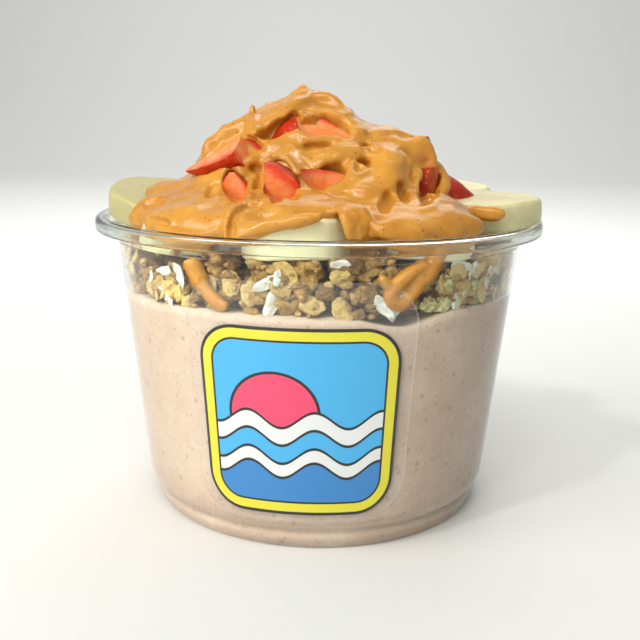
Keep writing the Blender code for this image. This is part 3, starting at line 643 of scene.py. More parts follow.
berry = {
    "length": 23.0,
    "radius": 10.5,
    "core": 3.6,  # how far the wedge's middle lies from the berry's axis
    "stations": 16,
    "softFinish": {"Roughness": 0.36, "Coat Weight": 0.15, "Coat Roughness": 0.15, "Subsurface Weight": 0.15,
                   "Subsurface Radius": (1.0, 0.35, 0.2), "Subsurface Scale": 0.004},
    "skinFinish": {"Roughness": 0.40, "Specular IOR Level": 0.25, "Coat Weight": 0.08, "Subsurface Weight": 0.12,
                   "Subsurface Radius": (1.0, 0.2, 0.1), "Subsurface Scale": 0.003},
    "skin": (0.36, 0.014, 0.004),
    "skinSeeds": ("speck", 700.0, 0.34, 0.80),
    "skinMarks": (
        ("cloud", 120.0, 0.30, 0.75, 1.00, (0.66, 0.045, 0.008)),
        ("speck", 700.0, 0.34, 0.80, 0.55, (0.75, 0.42, 0.10)),
        ("cloud", 150.0, 0.50, 0.75, 0.35, (0.70, 0.31, 0.07)),
    ),
    "flesh": (0.93, 0.23, 0.028),
    "fleshClouds": (("cloud", 300.0, 0.30, 0.70, 1.00, (0.87, 0.36, 0.18)),),
    "fleshEdge": (0.70, 0.035, 0.008),
    "fleshMarks": (
        ("cloud", 800.0, 0.45, 0.70, 0.30, (0.70, 0.035, 0.008)),
        ("cloud", 150.0, 0.48, 0.72, 0.50, (0.70, 0.31, 0.07)),
    ),
    "fleshGrain": (520.0, 0.4, 0.2),
}


def berryRadius(share):
    swell = math.sin(math.pi * (0.16 + 0.84 * share) ** 0.62) ** 0.72
    return berry["radius"] * swell * (1.0 - 0.12 * share)


def berryOutline(radius, cut):
    # Points across the wedge, with the share of the radius and whether each starts a stretch of skin
    quarter = cut == "quarter"
    start, sweep = (0.0, 90.0) if quarter else (-90.0, 180.0)
    arcSteps, flatSteps = (14, 6) if quarter else (24, 12)
    outline = []
    for i in range(arcSteps):
        turn = math.radians(start + sweep * i / arcSteps)
        outline.append((radius * math.cos(turn), radius * math.sin(turn), 1.0, True))
    shares = [i / flatSteps for i in range(flatSteps)]
    if quarter:
        outline += [(0.0, radius * (1 - share), 1 - share, False) for share in shares]
        outline += [(radius * share, 0.0, share, False) for share in shares]
    else:
        outline += [(0.0, radius * (1 - 2 * share), abs(1 - 2 * share), False) for share in shares]
    return outline


def berryPiece(name, seed):
    cut, size, plan, sink, tip, skin = strawberry[name]
    length, core, count = berry["length"] * size, berry["core"] * size, berry["stations"]
    middle = Vector((core, core if cut == "quarter" else 0.0, 0.08 * length))
    up = Vector(tip).normalized()
    out = Vector(skin) - up * up.dot(Vector(skin))
    out.normalize()
    place = Matrix((out, up.cross(out), up)).transposed()
    if cut == "quarter":
        place = place @ Matrix.Rotation(math.radians(-45), 3, "Z")
    centre = onMound(*plan, -sink)
    points, rinds = [], []
    for i in range(count):
        share = 0.20 + 0.775 * (i / (count - 1)) ** 0.9
        outline = berryOutline(berryRadius(share) * size, cut)
        for x, y, rind, _ in outline:
            local = Vector((x, y, (share - 0.5) * length))
            local += Vector((1, 1, 0)) * 0.25 * noise.noise(local * 0.35 + Vector((seed, 0, 0)))
            points.append(centre + place @ (local - middle))
            rinds.append(rind)
    skins = [onSkin for *_, onSkin in outline] * (count - 1) + [False, True]
    return points, cappedFaces(count, len(outline)), rinds, skins


def makeBerrySkinLook():
    look, tree, shader = newLook("strawberrySkin", berry["skinFinish"])
    tree.links.new(addMarks(tree, berry["skin"], berry["skinMarks"]), shader.inputs["Base Color"])
    pits = mathNode(tree, "SUBTRACT", 1.0, maskNode(tree, *berry["skinSeeds"]))
    addBump(tree, shader, pits, 0.5, 0.25)
    return look


def makeBerryFleshLook():
    look, tree, shader = newLook("strawberryFlesh", berry["softFinish"])
    colour = addMarks(tree, berry["flesh"], berry["fleshClouds"])
    colour = mixColours(tree, rampNode(tree, storedValue(tree, "rind"), 0.62, 1.0), colour, berry["fleshEdge"])
    addSurface(tree, shader, addMarks(tree, colour, berry["fleshMarks"]), *berry["fleshGrain"])
    return look


def makeStrawberries():
    cuts = [berryPiece(name, 3.0 * number) for number, name in enumerate(strawberry)]
    mesh = meshFrom("strawberryPieces", *joinShapes(cuts))
    storeValues(mesh, "rind", [rind for shape in cuts for rind in shape[2]])
    mesh.polygons.foreach_set("material_index", [0 if skin else 1 for shape in cuts for skin in shape[3]])
    looks = [makeBerrySkinLook(), makeBerryFleshLook()]
    addPiece("strawberryPieces", mesh, looks, nodesNamed("strawberry_"))
    mesh.set_sharp_from_angle(angle=math.radians(50))


makeStrawberries()
print("strawberries done")


# Nut butter: radius of each strand, then the plan points that it crosses on the mound
ropes = (
    (1.9, ((-3.0, -7.0), (-6.2, -9.8), (-9.4, -11.9), (-12.5, -13.2), (-14.0, -14.4))),
    (1.3, ((-4.1, -4.2), (-7.8, -7.7), (-11.2, -9.3), (-14.4, -10.7), (-16.4, -10.8))),
    (2.1, ((-17.1, -8.4), (-19.5, -9.6), (-22.7, -10.5), (-25.8, -10.6), (-27.7, -11.3), (-29.4, -12.3))),
    (2.0, ((-17.1, -7.8), (-16.5, -12.8), (-15.6, -16.0), (-14.0, -18.1))),
    (1.7, ((-2.5, -6.1), (1.8, -5.6), (4.9, -7.3), (7.4, -10.5), (9.4, -13.4), (10.7, -15.6))),
    (0.9, ((-4.4, -12.9), (-2.1, -14.4), (1.1, -15.0), (4.8, -14.4), (6.3, -15.1), (7.0, -16.9))),
    (1.4, ((-2.7, -11.5), (3.6, -11.0), (6.8, -11.8), (8.3, -14.2), (9.2, -16.7))),
    (0.9, ((-4.4, -12.3), (-4.8, -15.1), (-5.2, -17.6), (-5.7, -18.5))),
    (1.1, ((-14.2, -18.0), (-11.8, -17.8), (-8.6, -18.2), (-5.0, -18.7), (1.1, -18.3), (6.3, -17.7), (9.2, -17.6))),
    (1.0, ((-12.6, -20.3), (-9.8, -19.6), (-4.9, -19.9), (1.1, -19.5), (6.0, -18.5))),
    (1.6, ((-14.9, -22.0), (-13.6, -21.0), (-11.6, -20.7), (-8.5, -21.2), (-5.8, -22.4), (-4.1, -23.9),
           (-2.4, -25.3))),
    (1.3, ((-3.6, -22.5), (0.0, -22.5), (3.6, -21.4), (7.2, -19.6), (10.2, -17.7))),
    (1.25, ((-12.5, -31.1), (-12.9, -28.3), (-12.6, -25.7), (-11.2, -24.0), (-8.9, -23.5), (-6.9, -24.4),
            (-5.4, -26.4), (-3.9, -28.4), (-2.0, -29.7), (-0.2, -29.9))),
    (1.9, ((-2.1, -26.5), (0.0, -24.7), (2.9, -23.3), (6.0, -22.0), (9.7, -19.7), (13.4, -17.8), (16.6, -16.9),
           (18.8, -17.5), (20.5, -19.1), (21.4, -21.2))),
    (1.4, ((6.0, -24.9), (6.2, -27.3), (4.3, -29.2), (1.7, -30.0), (-0.8, -30.3))),
    (4.2, ((12.6, -19.7), (15.9, -21.2), (16.3, -24.4), (13.8, -28.1), (9.9, -30.7), (5.9, -32.4))),
    (3.0, ((7.6, -23.4), (8.6, -26.2), (6.9, -29.1), (3.6, -31.2), (-0.3, -32.4))),
    (1.1, ((19.1, -21.0), (20.8, -18.9), (21.7, -19.8), (21.2, -23.0), (19.6, -25.9), (18.5, -28.3), (17.7, -30.6))),
    (1.2, ((22.1, -16.9), (23.8, -18.4), (23.8, -21.6), (22.6, -24.8), (23.7, -26.0), (27.1, -24.0), (32.5, -16.7))),
    (2.0, ((27.0, -11.5), (29.7, -9.3), (30.8, -12.7), (30.3, -18.0))),
    (2.0, ((11.1, -12.6), (14.4, -11.6), (18.8, -10.1), (22.9, -8.3), (26.0, -8.2), (28.6, -9.0))),
    (1.8, ((11.2, -15.7), (14.8, -13.8), (18.6, -13.3), (21.1, -13.7), (23.7, -13.1), (27.4, -9.8))),
    (1.1, ((-23.0, -28.8), (-23.5, -25.9), (-23.0, -23.7), (-21.1, -23.2), (-19.1, -24.4), (-18.2, -26.4))),
    (1.1, ((-15.6, -26.5), (-16.7, -28.4), (-17.5, -30.1), (-17.8, -31.5))),
    (1.7, ((-23.1, -22.8), (-19.7, -23.1), (-16.8, -23.0), (-14.0, -21.9))),
    (0.9, ((-27.6, -25.8), (-26.0, -24.8), (-24.6, -24.2), (-23.0, -23.5))),
    (1.3, ((-31.6, -17.1), (-27.6, -21.4), (-24.1, -22.7), (-20.2, -22.6))),
    (1.8, ((-37.0, -15.0), (-30.0, -22.0), (-23.0, -28.0), (-13.0, -33.0), (-2.0, -34.0), (7.0, -33.0), (14.0, -31.0),
           (20.0, -29.0))),
    (2.2, ((21.0, -27.0), (26.0, -27.0), (31.0, -26.0), (36.0, -24.5), (41.0, -25.0), (44.5, -27.0))),
)
backRopes = {"rows": (0.36, 0.56, 0.76), "radius": 2.3, "angles": range(118, 254, 27)}
# Peaks: plan, tip and radius, built in two stages with their shares of the height and of the radius
peaks = (((-17.0, -7.8), 105.4, 1.4), ((-4.3, -2.0), 110.2, 2.2))
peakStages = ((0.66, 1.7), (1.0, 0.9))
# Strands that hang over the front slices, in space
drapes = (
    (1.8, ((-20.5, -49.5, 76.0), (-15.5, -50.8, 77.3), (-10.0, -51.3, 78.9), (-4.1, -51.1, 80.2), (0.8, -50.8, 81.3))),
    (1.2, ((3.6, -46.0, 82.6), (5.1, -49.6, 81.2), (6.0, -50.6, 79.0), (6.5, -50.4, 75.6))),
    (1.2, ((5.6, -45.0, 83.2), (7.2, -48.8, 81.6), (8.3, -49.8, 79.2), (8.9, -49.6, 75.4))),
    (1.3, ((8.0, -44.0, 83.4), (9.2, -47.6, 82.0), (10.4, -48.8, 79.6), (11.2, -48.6, 75.8))),
    (1.15, ((-12.4, -34.6, 81.6), (-13.3, -33.0, 85.5), (-13.3, -31.2, 88.8), (-11.9, -29.8, 91.5),
            (-10.0, -29.2, 92.5), (-7.6, -29.8, 92.0), (-5.7, -31.0, 89.5), (-4.2, -32.4, 87.1), (-2.9, -33.2, 85.4), (-0.5, -33.4, 84.4))),
    (1.5, ((21.0, -13.0, 95.0), (23.3, -13.2, 95.8), (25.0, -13.0, 95.9), (26.6, -12.6, 94.9), (27.7, -12.4, 93.2),
           (28.3, -12.6, 91.2), (28.6, -13.0, 89.3))),
)
# Lobes that ran out over the fruit: angle, distance, height, slope, then half-sizes
lobes = (
    (-41.0, 37.0, 79.8, 10.0, (13.0, 15.0, 4.8)),
    (-38.0, 49.0, 77.4, 24.0, (13.5, 5.6, 4.1)),
    (-66.0, 37.0, 80.2, 7.0, (10.0, 12.5, 3.8)),
    (-62.0, 47.0, 77.3, 20.0, (8.5, 5.2, 2.8)),
    (-80.0, 37.0, 82.6, 6.0, (9.0, 9.0, 2.6)),
    (-10.0, 37.2, 81.2, 5.0, (15.5, 12.6, 3.8)),
    (-21.5, 48.4, 78.6, 20.0, (6.0, 4.8, 4.0)),
    (33.0, 39.0, 79.2, 8.0, (17.0, 12.5, 5.0)),
    (31.0, 48.6, 77.4, 22.0, (15.5, 5.6, 4.4)),
    (-98.0, 33.0, 80.5, 4.0, (9.0, 9.0, 3.4)),
    (170.0, 36.0, 79.4, 8.0, (14.0, 12.5, 4.4)),
    (-142.0, 35.0, 79.6, 8.0, (13.0, 12.0, 4.2)),
    (112.0, 35.0, 80.6, 8.0, (11.0, 10.0, 3.6)),
)
# Drips against the wall: radius, how deep it lies behind the wall, then angle and height
drips = (
    (2.2, 0.0, ((-35.0, 70.2), (-33.8, 68.4), (-32.4, 66.0), (-31.4, 64.6))),
    (1.5, 0.0, ((-33.0, 67.4), (-31.0, 64.6), (-28.5, 62.2), (-26.2, 60.6), (-23.8, 60.0))),
    (2.5, 0.0, ((31.0, 77.0), (31.0, 72.5), (29.5, 69.0), (27.5, 66.6))),
    (1.8, 0.0, ((27.5, 70.5), (22.0, 67.4), (18.9, 64.8), (18.6, 62.4), (21.6, 61.5), (25.0, 64.2), (27.2, 67.6))),
    (1.7, 1.5, ((26.4, 68.4), (24.0, 65.8), (22.4, 63.8), (21.2, 62.6))),
    (1.2, 0.2, ((15.2, 68.0), (16.6, 66.6), (18.2, 65.0))),
)
# Gaps through to the fruit, as the label side shows them on an upright plane: middle across and up,
# half-sizes, turn and depth
windows = (
    ((-9.5, 99.0), (4.9, 1.5), 25, 2.8),
    ((-6.6, 100.3), (2.0, 1.5), 60, 2.6),
    ((0.8, 99.3), (5.6, 2.0), -6, 2.8),
    ((-16.0, 95.3), (3.2, 0.8), -30, 1.8),
    ((-0.3, 94.7), (3.9, 0.6), 3, 1.6),
    ((12.8, 94.1), (2.2, 0.8), -15, 1.6),
    ((10.0, 90.2), (1.9, 1.2), 25, 2.0),
    ((1.5, 87.2), (4.5, 2.0), 25, 2.8),
    ((-3.6, 86.2), (1.8, 1.4), -20, 2.8),
    ((-9.4, 85.8), (4.0, 1.6), -50, 2.6),
    ((-10.6, 84.2), (2.4, 2.5), 0, 3.2),
    ((-15.1, 85.3), (3.2, 0.8), 75, 1.8),
    ((-20.7, 84.8), (3.5, 2.1), -80, 2.8),
    ((-26.4, 83.7), (2.0, 1.1), 45, 1.6),
    ((-15.3, 89.0), (1.7, 0.9), 0, 1.8),
    ((22.7, 87.3), (2.4, 0.6), -85, 1.6),
    ((26.9, 85.2), (3.2, 1.9), 75, 2.8),
    ((20.4, 83.6), (2.5, 0.9), -65, 1.8),
    ((16.6, 81.4), (2.4, 1.5), 70, 2.2),
    ((-39.8, 75.8), (2.2, 1.0), -10, 1.8),
    ((-41.3, 80.2), (2.4, 0.9), 10, 1.4),
    ((-21.7, 74.6), (3.6, 0.85), 86, 1.9),
    ((-20.3, 78.2), (2.4, 0.85), 50, 1.8),
    ((-16.8, 80.0), (3.8, 0.75), 12, 1.6),
    ((8.9, 75.2), (2.8, 0.3), 92, 1.3),
    ((10.8, 75.2), (2.8, 0.3), 92, 1.3),
    ((12.4, 74.2), (2.2, 0.5), 92, 1.8),
)
butter = {
    "closing": 1.1,
    "ropeSides": 14,
    "streak": 0.32,
    # Streaks that run level round the mound: weight, widths and how far the bend moves them
    "streaks": ((1.0, (11.0, 11.0, 1.5), 1), (0.45, (5.0, 5.0, 0.8), 2), (1.3, (5.5, 3.6, 4.0), 0)),
    "gapPlane": -20.0,
    "gapWarp": (0.45, 2.4),
    "gapEdge": (0.75, 1.3),  # shares of a gap's size where its floor ends and its wall ends
    "gapLip": (0.35, 1.6, 0.3, 0.3),  # height, share of the size, width, and depth that it stays off
    "gapLean": 1.3,
    "gapBack": 4.0,
    "dripSunk": 0.75,
    "finish": {"Specular IOR Level": 0.50, "Subsurface Weight": 0.15, "Subsurface Radius": (1.0, 0.45, 0.12),
               "Subsurface Scale": 0.0025},
    "colour": (0.56, 0.236, 0.025),
    "marks": (
        ("cloud", 70.0, 0.35, 0.68, 1.00, (0.66, 0.315, 0.046)),
        ("cloud", 150.0, 0.52, 0.80, 0.50, (0.42, 0.15, 0.018)),
        ("speck", 950.0, 0.34, 0.35, 0.55, (0.12, 0.04, 0.01)),
    ),
    "wet": ("cloud", 130.0, 0.42, 0.62),
    "pimples": ("speck", 620.0, 0.62, 0.35),
    "grain": ("cloud", 900.0, 0.35, 0.75),
    "roughness": (-0.14, 0.26),
    "bump": (1.6, 0.25, 0.12),  # weight of the pimples, strength, distance
}


def smoothPath(points, perSpan=8):
    ends = [points[0] * 2 - points[1]] + list(points) + [points[-1] * 2 - points[-2]]
    path = []
    for a, b, c, d in zip(ends, ends[1:], ends[2:], ends[3:]):
        for i in range(perSpan):
            t = i / perSpan
            path.append(0.5 * (2 * b + (c - a) * t + (2 * a - 5 * b + 4 * c - d) * t**2
                               + (3 * b - a - 3 * c + d) * t**3))
    return path + [points[-1]]


def addRope(shape, points, radius, taper=0.45):
    path = smoothPath([Vector(place) for place in points])
    sides, rings = butter["ropeSides"], []
    for i, place in enumerate(path):
        ahead = (path[min(i + 1, len(path) - 1)] - path[max(i - 1, 0)]).normalized()
        across = ahead.cross(Vector((0.31, 0.17, 1.0))).normalized()
        up = across.cross(ahead)
        end = min(i, len(path) - 1 - i) / 6.0
        wide = radius * (taper + (1 - taper) * min(1.0, end))
        wide *= 1 + 0.15 * noise.noise(place * 0.3)
        turns = [math.tau * k / sides for k in range(sides)]
        ring = [place + across * wide * math.cos(turn) + up * wide * math.sin(turn) for turn in turns]
        rings.append([shape.verts.new(point * mm) for point in ring])
    for low, high in zip(rings, rings[1:]):
        for k in range(sides):
            shape.faces.new((low[k], low[(k + 1) % sides], high[(k + 1) % sides], high[k]))
    shape.faces.new(rings[0])
    shape.faces.new(rings[-1])


def addBlob(shape, centre, half, turn, rough, seed, detail=5):
    lump = bmesh.ops.create_icosphere(shape, subdivisions=detail, radius=1.0)["verts"]
    for point in lump:
        local = point.co * (1 + rough * noise.noise(point.co * 1.7 + Vector((seed, 0, 0))))
        local = Vector((local.x * half[0], local.y * half[1], local.z * half[2]))
        point.co = (centre + turn @ local) * mm


def addMoundCore(shape):
    core = bmesh.ops.create_uvsphere(shape, u_segments=96, v_segments=64, radius=1.0)["verts"]
    for point in core:
        share = min(1.0, math.hypot(point.co.x, point.co.y))
        turn = math.atan2(point.co.y, point.co.x)
        reach = mound["skirtRadius"] * (1 + 0.03 * math.sin(3 * turn + 0.5) + 0.025 * math.sin(5 * turn + 2.0))
        x, y = reach * share * math.cos(turn), reach * share * math.sin(turn)
        body = math.sqrt(1.0 - share**8)
        edge = mound["skirtHeight"]
        if point.co.z >= 0:
            bumps = 1.1 * noise.noise(Vector((x / 6.0, y / 6.0, 0.7)))
            height = edge + (moundHeight(x, y) + bumps - edge) * body
        else:
            height = edge - (edge - mound["floor"]) * body
        point.co = Vector((x, y, height)) * mm


def backRopePoints(share, draw):
    points = []
    for angle in backRopes["angles"]:
        swing = share + 0.08 * math.sin(math.radians(angle * 2.5)) + draw.uniform(-0.05, 0.05)
        reach = mound["reachLeft"] if angle > 180 else mound["reachRight"]
        x = mound["centre"][0] + reach * swing * math.sin(math.radians(angle))
        y = mound["centre"][1] - mound["reachDeep"] * swing * math.cos(math.radians(angle))
        points.append((x, y))
    return points


def fused(name, shape, voxel, closing, rounds):
    # One smooth skin over everything in the shape; closing fills creases up to about twice that width
    bmesh.ops.recalc_face_normals(shape, faces=shape.faces)
    mesh = bpy.data.meshes.new(name)
    shape.to_mesh(mesh)
    shape.free()
    holder = bpy.data.objects.new(name, mesh)
    scene.collection.objects.link(holder)
    for move in (0.0, closing, -closing) if closing else (0.0,):
        if move:
            swell = holder.modifiers.new("swell", "DISPLACE")
            swell.strength = move * mm
            swell.mid_level = 0.0
        skin = holder.modifiers.new("skin", "REMESH")
        skin.mode = "VOXEL"
        skin.voxel_size = voxel * mm
        skin.use_smooth_shade = True
    soften = holder.modifiers.new("soften", "SMOOTH")
    soften.factor = 0.5
    soften.iterations = rounds
    applyModifiers(holder)
    mesh = holder.data
    bpy.data.objects.remove(holder)
    return mesh


def smoothStep(low, high, value):
    share = np.clip((value - low) / (high - low), 0.0, 1.0)
    return share * share * (3 - 2 * share)


def streakAt(p):
    bend = 2.5 * noise.noise(Vector(p) / 9)
    total = 0.0
    for weight, (across, deep, up), turns in butter["streaks"]:
        total += weight * noise.noise(Vector((p[0] / across, p[1] / deep, p[2] / up + turns * bend)))
    return total


def carve(mesh):
    # Streaks all over, then the gaps, pushed in along the sight lines
    count = len(mesh.vertices)
    points, normals = np.empty(3 * count), np.empty(3 * count)
    mesh.vertices.foreach_get("co", points)
    mesh.vertices.foreach_get("normal", normals)
    points, normals = points.reshape(-1, 3) / mm, normals.reshape(-1, 3)
    points += normals * (butter["streak"] * np.array([streakAt(p) for p in points]))[:, None]
    eye = np.array((0.0, -stage["distance"], stage["eyeHeight"]))
    sight = points - eye
    seen = eye + sight * ((butter["gapPlane"] - eye[1]) / sight[:, 1])[:, None]
    depth, rim = np.zeros(count), np.zeros(count)
    warp, wave = butter["gapWarp"]
    warp = warp * np.array([noise.noise(Vector((p[0] / wave, 5.0, p[2] / wave))) for p in seen])
    lip, lipShare, lipWidth, shallow = butter["gapLip"]
    for (across, up), (long, short), turn, deep in windows:
        c, s = math.cos(math.radians(turn)), math.sin(math.radians(turn))
        u, v = seen[:, 0] - across, seen[:, 2] - up
        far = np.hypot((u * c + v * s) / long, (v * c - u * s) / short) + warp
        depth = np.maximum(depth, deep * (1 - smoothStep(*butter["gapEdge"], far)))
        rim = np.maximum(rim, lip * np.exp(-(((far - lipShare) / lipWidth) ** 2)))
    front = (points[:, 1] < butter["gapBack"]) & (np.sum(normals * sight, 1) < 0)
    push = np.where(front, depth - rim * (depth < shallow), 0.0)
    inward = sight / np.linalg.norm(sight, axis=1)[:, None] - butter["gapLean"] * normals
    points += inward / np.linalg.norm(inward, axis=1)[:, None] * push[:, None]
    mesh.vertices.foreach_set("co", (points * mm).ravel())


def makeButterLook():
    look, tree, shader = newLook("nutButter", butter["finish"])
    tree.links.new(addMarks(tree, butter["colour"], butter["marks"]), shader.inputs["Base Color"])
    wet, pimples, grain = [maskNode(tree, *butter[name]) for name in ("wet", "pimples", "grain")]
    shiny = mathNode(tree, "MAXIMUM", wet, pimples)
    tree.links.new(mathNode(tree, "MULTIPLY_ADD", shiny, *butter["roughness"]), shader.inputs["Roughness"])
    weight, strength, distance = butter["bump"]
    addBump(tree, shader, mathNode(tree, "MULTIPLY_ADD", pimples, weight, grain), strength, distance)
    return look


def shapeFrom(mesh):
    shape = bmesh.new()
    shape.from_mesh(mesh)
    return shape


def makeNutButter():
    shape = bmesh.new()
    addMoundCore(shape)
    for angle, distance, height, slope, half in lobes:
        turn = Matrix.Rotation(math.radians(angle), 3, "Z") @ Matrix.Rotation(math.radians(slope), 3, "X")
        addBlob(shape, polar(angle, distance, height), half, turn, 0.16, angle)
    shape = shapeFrom(fused("butterBody", shape, 0.8, butter["closing"] * 1.6, 3))
    draw = random.Random(5)
    strands = list(ropes) + [(backRopes["radius"], backRopePoints(share, draw)) for share in backRopes["rows"]]
    for radius, plan in strands:
        addRope(shape, [onMound(x, y, 0.25 * radius) for x, y in plan], radius)
    for (x, y), tip, radius in peaks:
        foot = moundHeight(x, y) - 2.5
        for share, wide in peakStages:
            top = foot + (tip - foot) * share
            addRope(shape, [(x, y, foot), (x - 0.3, y, (foot + top) / 2), (x, y, top)], wide * radius, 0.2)
    for radius, path in drapes:
        addRope(shape, path, radius, 0.6)
    body = fused("butterStrands", shape, 0.55, butter["closing"] * 0.28, 2)
    carve(body)
    shape = shapeFrom(body)
    for radius, sink, path in drips:
        behind = butter["dripSunk"] * radius + sink
        points = [polar(angle, innerRadius(height) - behind, height) for angle, height in path]
        addRope(shape, points, radius, 0.8)
    mesh = fused("nutButterPour", shape, mound["voxel"], 0.0, 2)
    addPiece("nutButterPour", mesh, [makeButterLook()], ["nut_butter"])


makeNutButter()
print("nut butter done")


# Granola: a dark core whose dark brown is painted shade between the pieces, clusters of oats, flakes, coconut chips
# and seed pieces
granola = {
    "coreRadius": 44.5,
    "coreTop": 68.0,
    "coreDepth": 11.0,
    "spread": 1.6,
    "highest": 75.0,
    "finish": {"Subsurface Weight": 0.1, "Subsurface Radius": (1.0, 0.6, 0.3), "Subsurface Scale": 0.002},
    "cloud": ("cloud", 520.0, 0.40, 0.68, 0.35),
    "bump": (0.9, 0.35),
    # The core's dark browns are painted shade for the gaps between the pieces
    "coreShadePaints": ((0.16, 0.09, 0.04), (0.30, 0.18, 0.08), (0.40, 0.26, 0.12)),
}
tan, gold = (0.47, 0.255, 0.052), (0.70, 0.475, 0.165)
# Each kind: a lump (detail, half-sizes, bumps, depth) or a chip (half-sizes, bend), how many shapes with the
# first seed and the step between seeds, three paints from dark to light, and where it lies. The placed ones
# are those that the photo picks out: angle, height, size, turn and tone.
granolaKinds = {
    "granolaClusters": {
        "lump": (3, (4.2, 3.6, 3.2), 3.0, 0.55), "shapes": (9, 0.0, 7.0), "seed": 11,
        "look": ("oatCluster", ((0.15, 0.07, 0.02), tan, gold)),
        "count": 120, "heights": (60.5, 64.0, 67.5, 70.0), "size": (0.6, 1.2),
    },
    "oatCrumbs": {
        "lump": (2, (1.5, 1.1, 0.9), 1.6, 0.6), "shapes": (8, 0.0, 3.0), "seed": 5,
        "look": ("oatCrumb", ((0.26, 0.15, 0.06), tan, (0.70, 0.51, 0.23))),
        "count": 620, "heights": (60.0, 62.5, 65.0, 67.5, 70.0, 71.5), "size": (0.5, 1.4),
    },
    "cerealPuffs": {
        "lump": (4, (2.9, 2.5, 1.9), 2.0, 0.5), "shapes": (3, 11.0, 5.0), "seed": 3,
        "look": ("cerealPuff", ((0.50, 0.26, 0.05), (0.76, 0.48, 0.12), (0.86, 0.64, 0.24))),
        "placed": ((-43.0, 62.6, 1.25, 0, 0.9), (-37.0, 60.0, 0.6, 40, 1.0), (-39.5, 61.0, 0.5, 80, 1.0)),
    },
    # The cereal puffs again with olive-green paints: painted shade for the puffs that lie on the shaded right side
    "shadedPuffs": {
        "lump": (4, (2.9, 2.5, 1.9), 2.0, 0.5), "shapes": (3, 11.0, 5.0), "seed": 7,
        "look": ("shadedPuff", ((0.05, 0.12, 0.02), (0.52, 0.47, 0.17), (0.80, 0.74, 0.42))),
        "placed": ((36.0, 65.0, 1.0, 10, 0.7), (41.0, 60.5, 1.1, 60, 0.8), (35.0, 60.0, 0.8, 30, 0.9),
                   (45.5, 64.5, 0.9, 80, 0.7), (50.0, 61.0, 0.9, 20, 0.6), (30.0, 60.5, 0.7, 20, 0.8)),
    },
    "oatFlakes": {
        "chip": ((2.9, 2.1, 0.5), 0.6), "shapes": (5, 0.0, 5.0), "seed": 23,
        "look": ("oatFlake", (tan, gold, (0.74, 0.57, 0.28))),
        "count": 80, "heights": (61.0, 65.0, 69.0),
    },
    "coconutChips": {
        "chip": ((3.4, 1.5, 0.4), 0.8), "shapes": (6, 3.0, 4.0), "seed": 31,
        "look": ("coconutChip", ((0.62, 0.56, 0.44), (0.78, 0.75, 0.66), (0.86, 0.85, 0.80)), 0.5, 350.0),
        "count": 16, "heights": (59.5, 63.0, 67.0, 71.0),
        "placed": ((-43.5, 66.6, 0.75, 10, 0.9), (-38.5, 66.0, 0.95, -60, 1.0), (-50.0, 64.5, 0.45, 80, 1.0),
                   (-44.5, 59.6, 0.95, -42, 1.0), (-13.0, 66.2, 0.9, 30, 0.9), (-10.0, 67.5, 0.6, 80, 0.7),
                   (16.6, 61.0, 0.95, -50, 1.0), (20.0, 60.6, 0.95, 62, 1.0), (34.0, 70.0, 1.0, 15, 0.7),
                   (39.5, 68.6, 1.2, -20, 0.8), (44.5, 67.6, 0.9, 40, 0.7), (5.0, 71.0, 0.7, 5, 0.6)),
    },
    "seedPieces": {
        "chip": ((2.4, 0.9, 0.6), 0.3), "shapes": (3, 9.0, 2.0), "seed": 47,
        "look": ("seedPiece", ((0.02, 0.04, 0.015), (0.05, 0.11, 0.05), (0.09, 0.16, 0.06)), 0.4),
        "count": 14, "heights": (62.0, 66.0), "size": (0.5, 1.0),
    },
}


def nearDrip(angle, height, reach):
    for thickness, _, path in drips:
        for dripAngle, dripHeight in path:
            across = math.radians(angle - dripAngle) * 50.0
            if math.hypot(across, height - dripHeight) < thickness + reach:
                return True
    return False


bananaPlaces = [discFrame(nodePoints(node)) for node in nodesNamed("banana_")]


def underBanana(place, reach):
    for middle, turn, radius, half in bananaPlaces:
        local = turn.transposed() @ (place - middle)
        if math.hypot(local.x, local.y) < radius + reach and abs(local.z) < half + reach:
            return True
    return False


def lumpShape(seed, detail, half, bumps, depth):
    shape = bmesh.new()
    bmesh.ops.create_icosphere(shape, subdivisions=detail, radius=1.0)
    points, reliefs = [], []
    for point in shape.verts:
        near = noise.voronoi(point.co * bumps + Vector((seed, 0, 0)))[0][0]
        soft = noise.noise(point.co * 1.3 + Vector((0, seed, 0)))
        fine = noise.noise(point.co * 3.2 * bumps + Vector((0, 0, seed)))
        close = noise.voronoi(point.co * bumps * 2.1 + Vector((0, seed, 0)))[0][0]
        relief = depth * (0.45 - near) + 0.45 * depth * (0.45 - close) + 0.12 * depth * fine
        points.append([point.co[i] * (1 + 0.25 * soft + relief) * half[i] for i in range(3)])
        reliefs.append(relief)
    faces = [tuple(point.index for point in face.verts) for face in shape.faces]
    shape.free()
    return np.array(points), faces, np.array(reliefs)


def chipShape(seed, half, bend):
    points, faces, reliefs = lumpShape(seed, 3, (1.0, 1.0, 1.0), 1.6, 0.25)
    flat = points * np.array(half)
    flat[:, 2] += bend * (flat[:, 0] / half[0]) ** 2 + 0.3 * bend * np.sin(3 * flat[:, 1] / half[1])
    return flat, faces, reliefs


def againstWall(angle):
    return Matrix.Rotation(math.radians(angle), 3, "Z") @ Matrix.Rotation(math.radians(90), 3, "X")


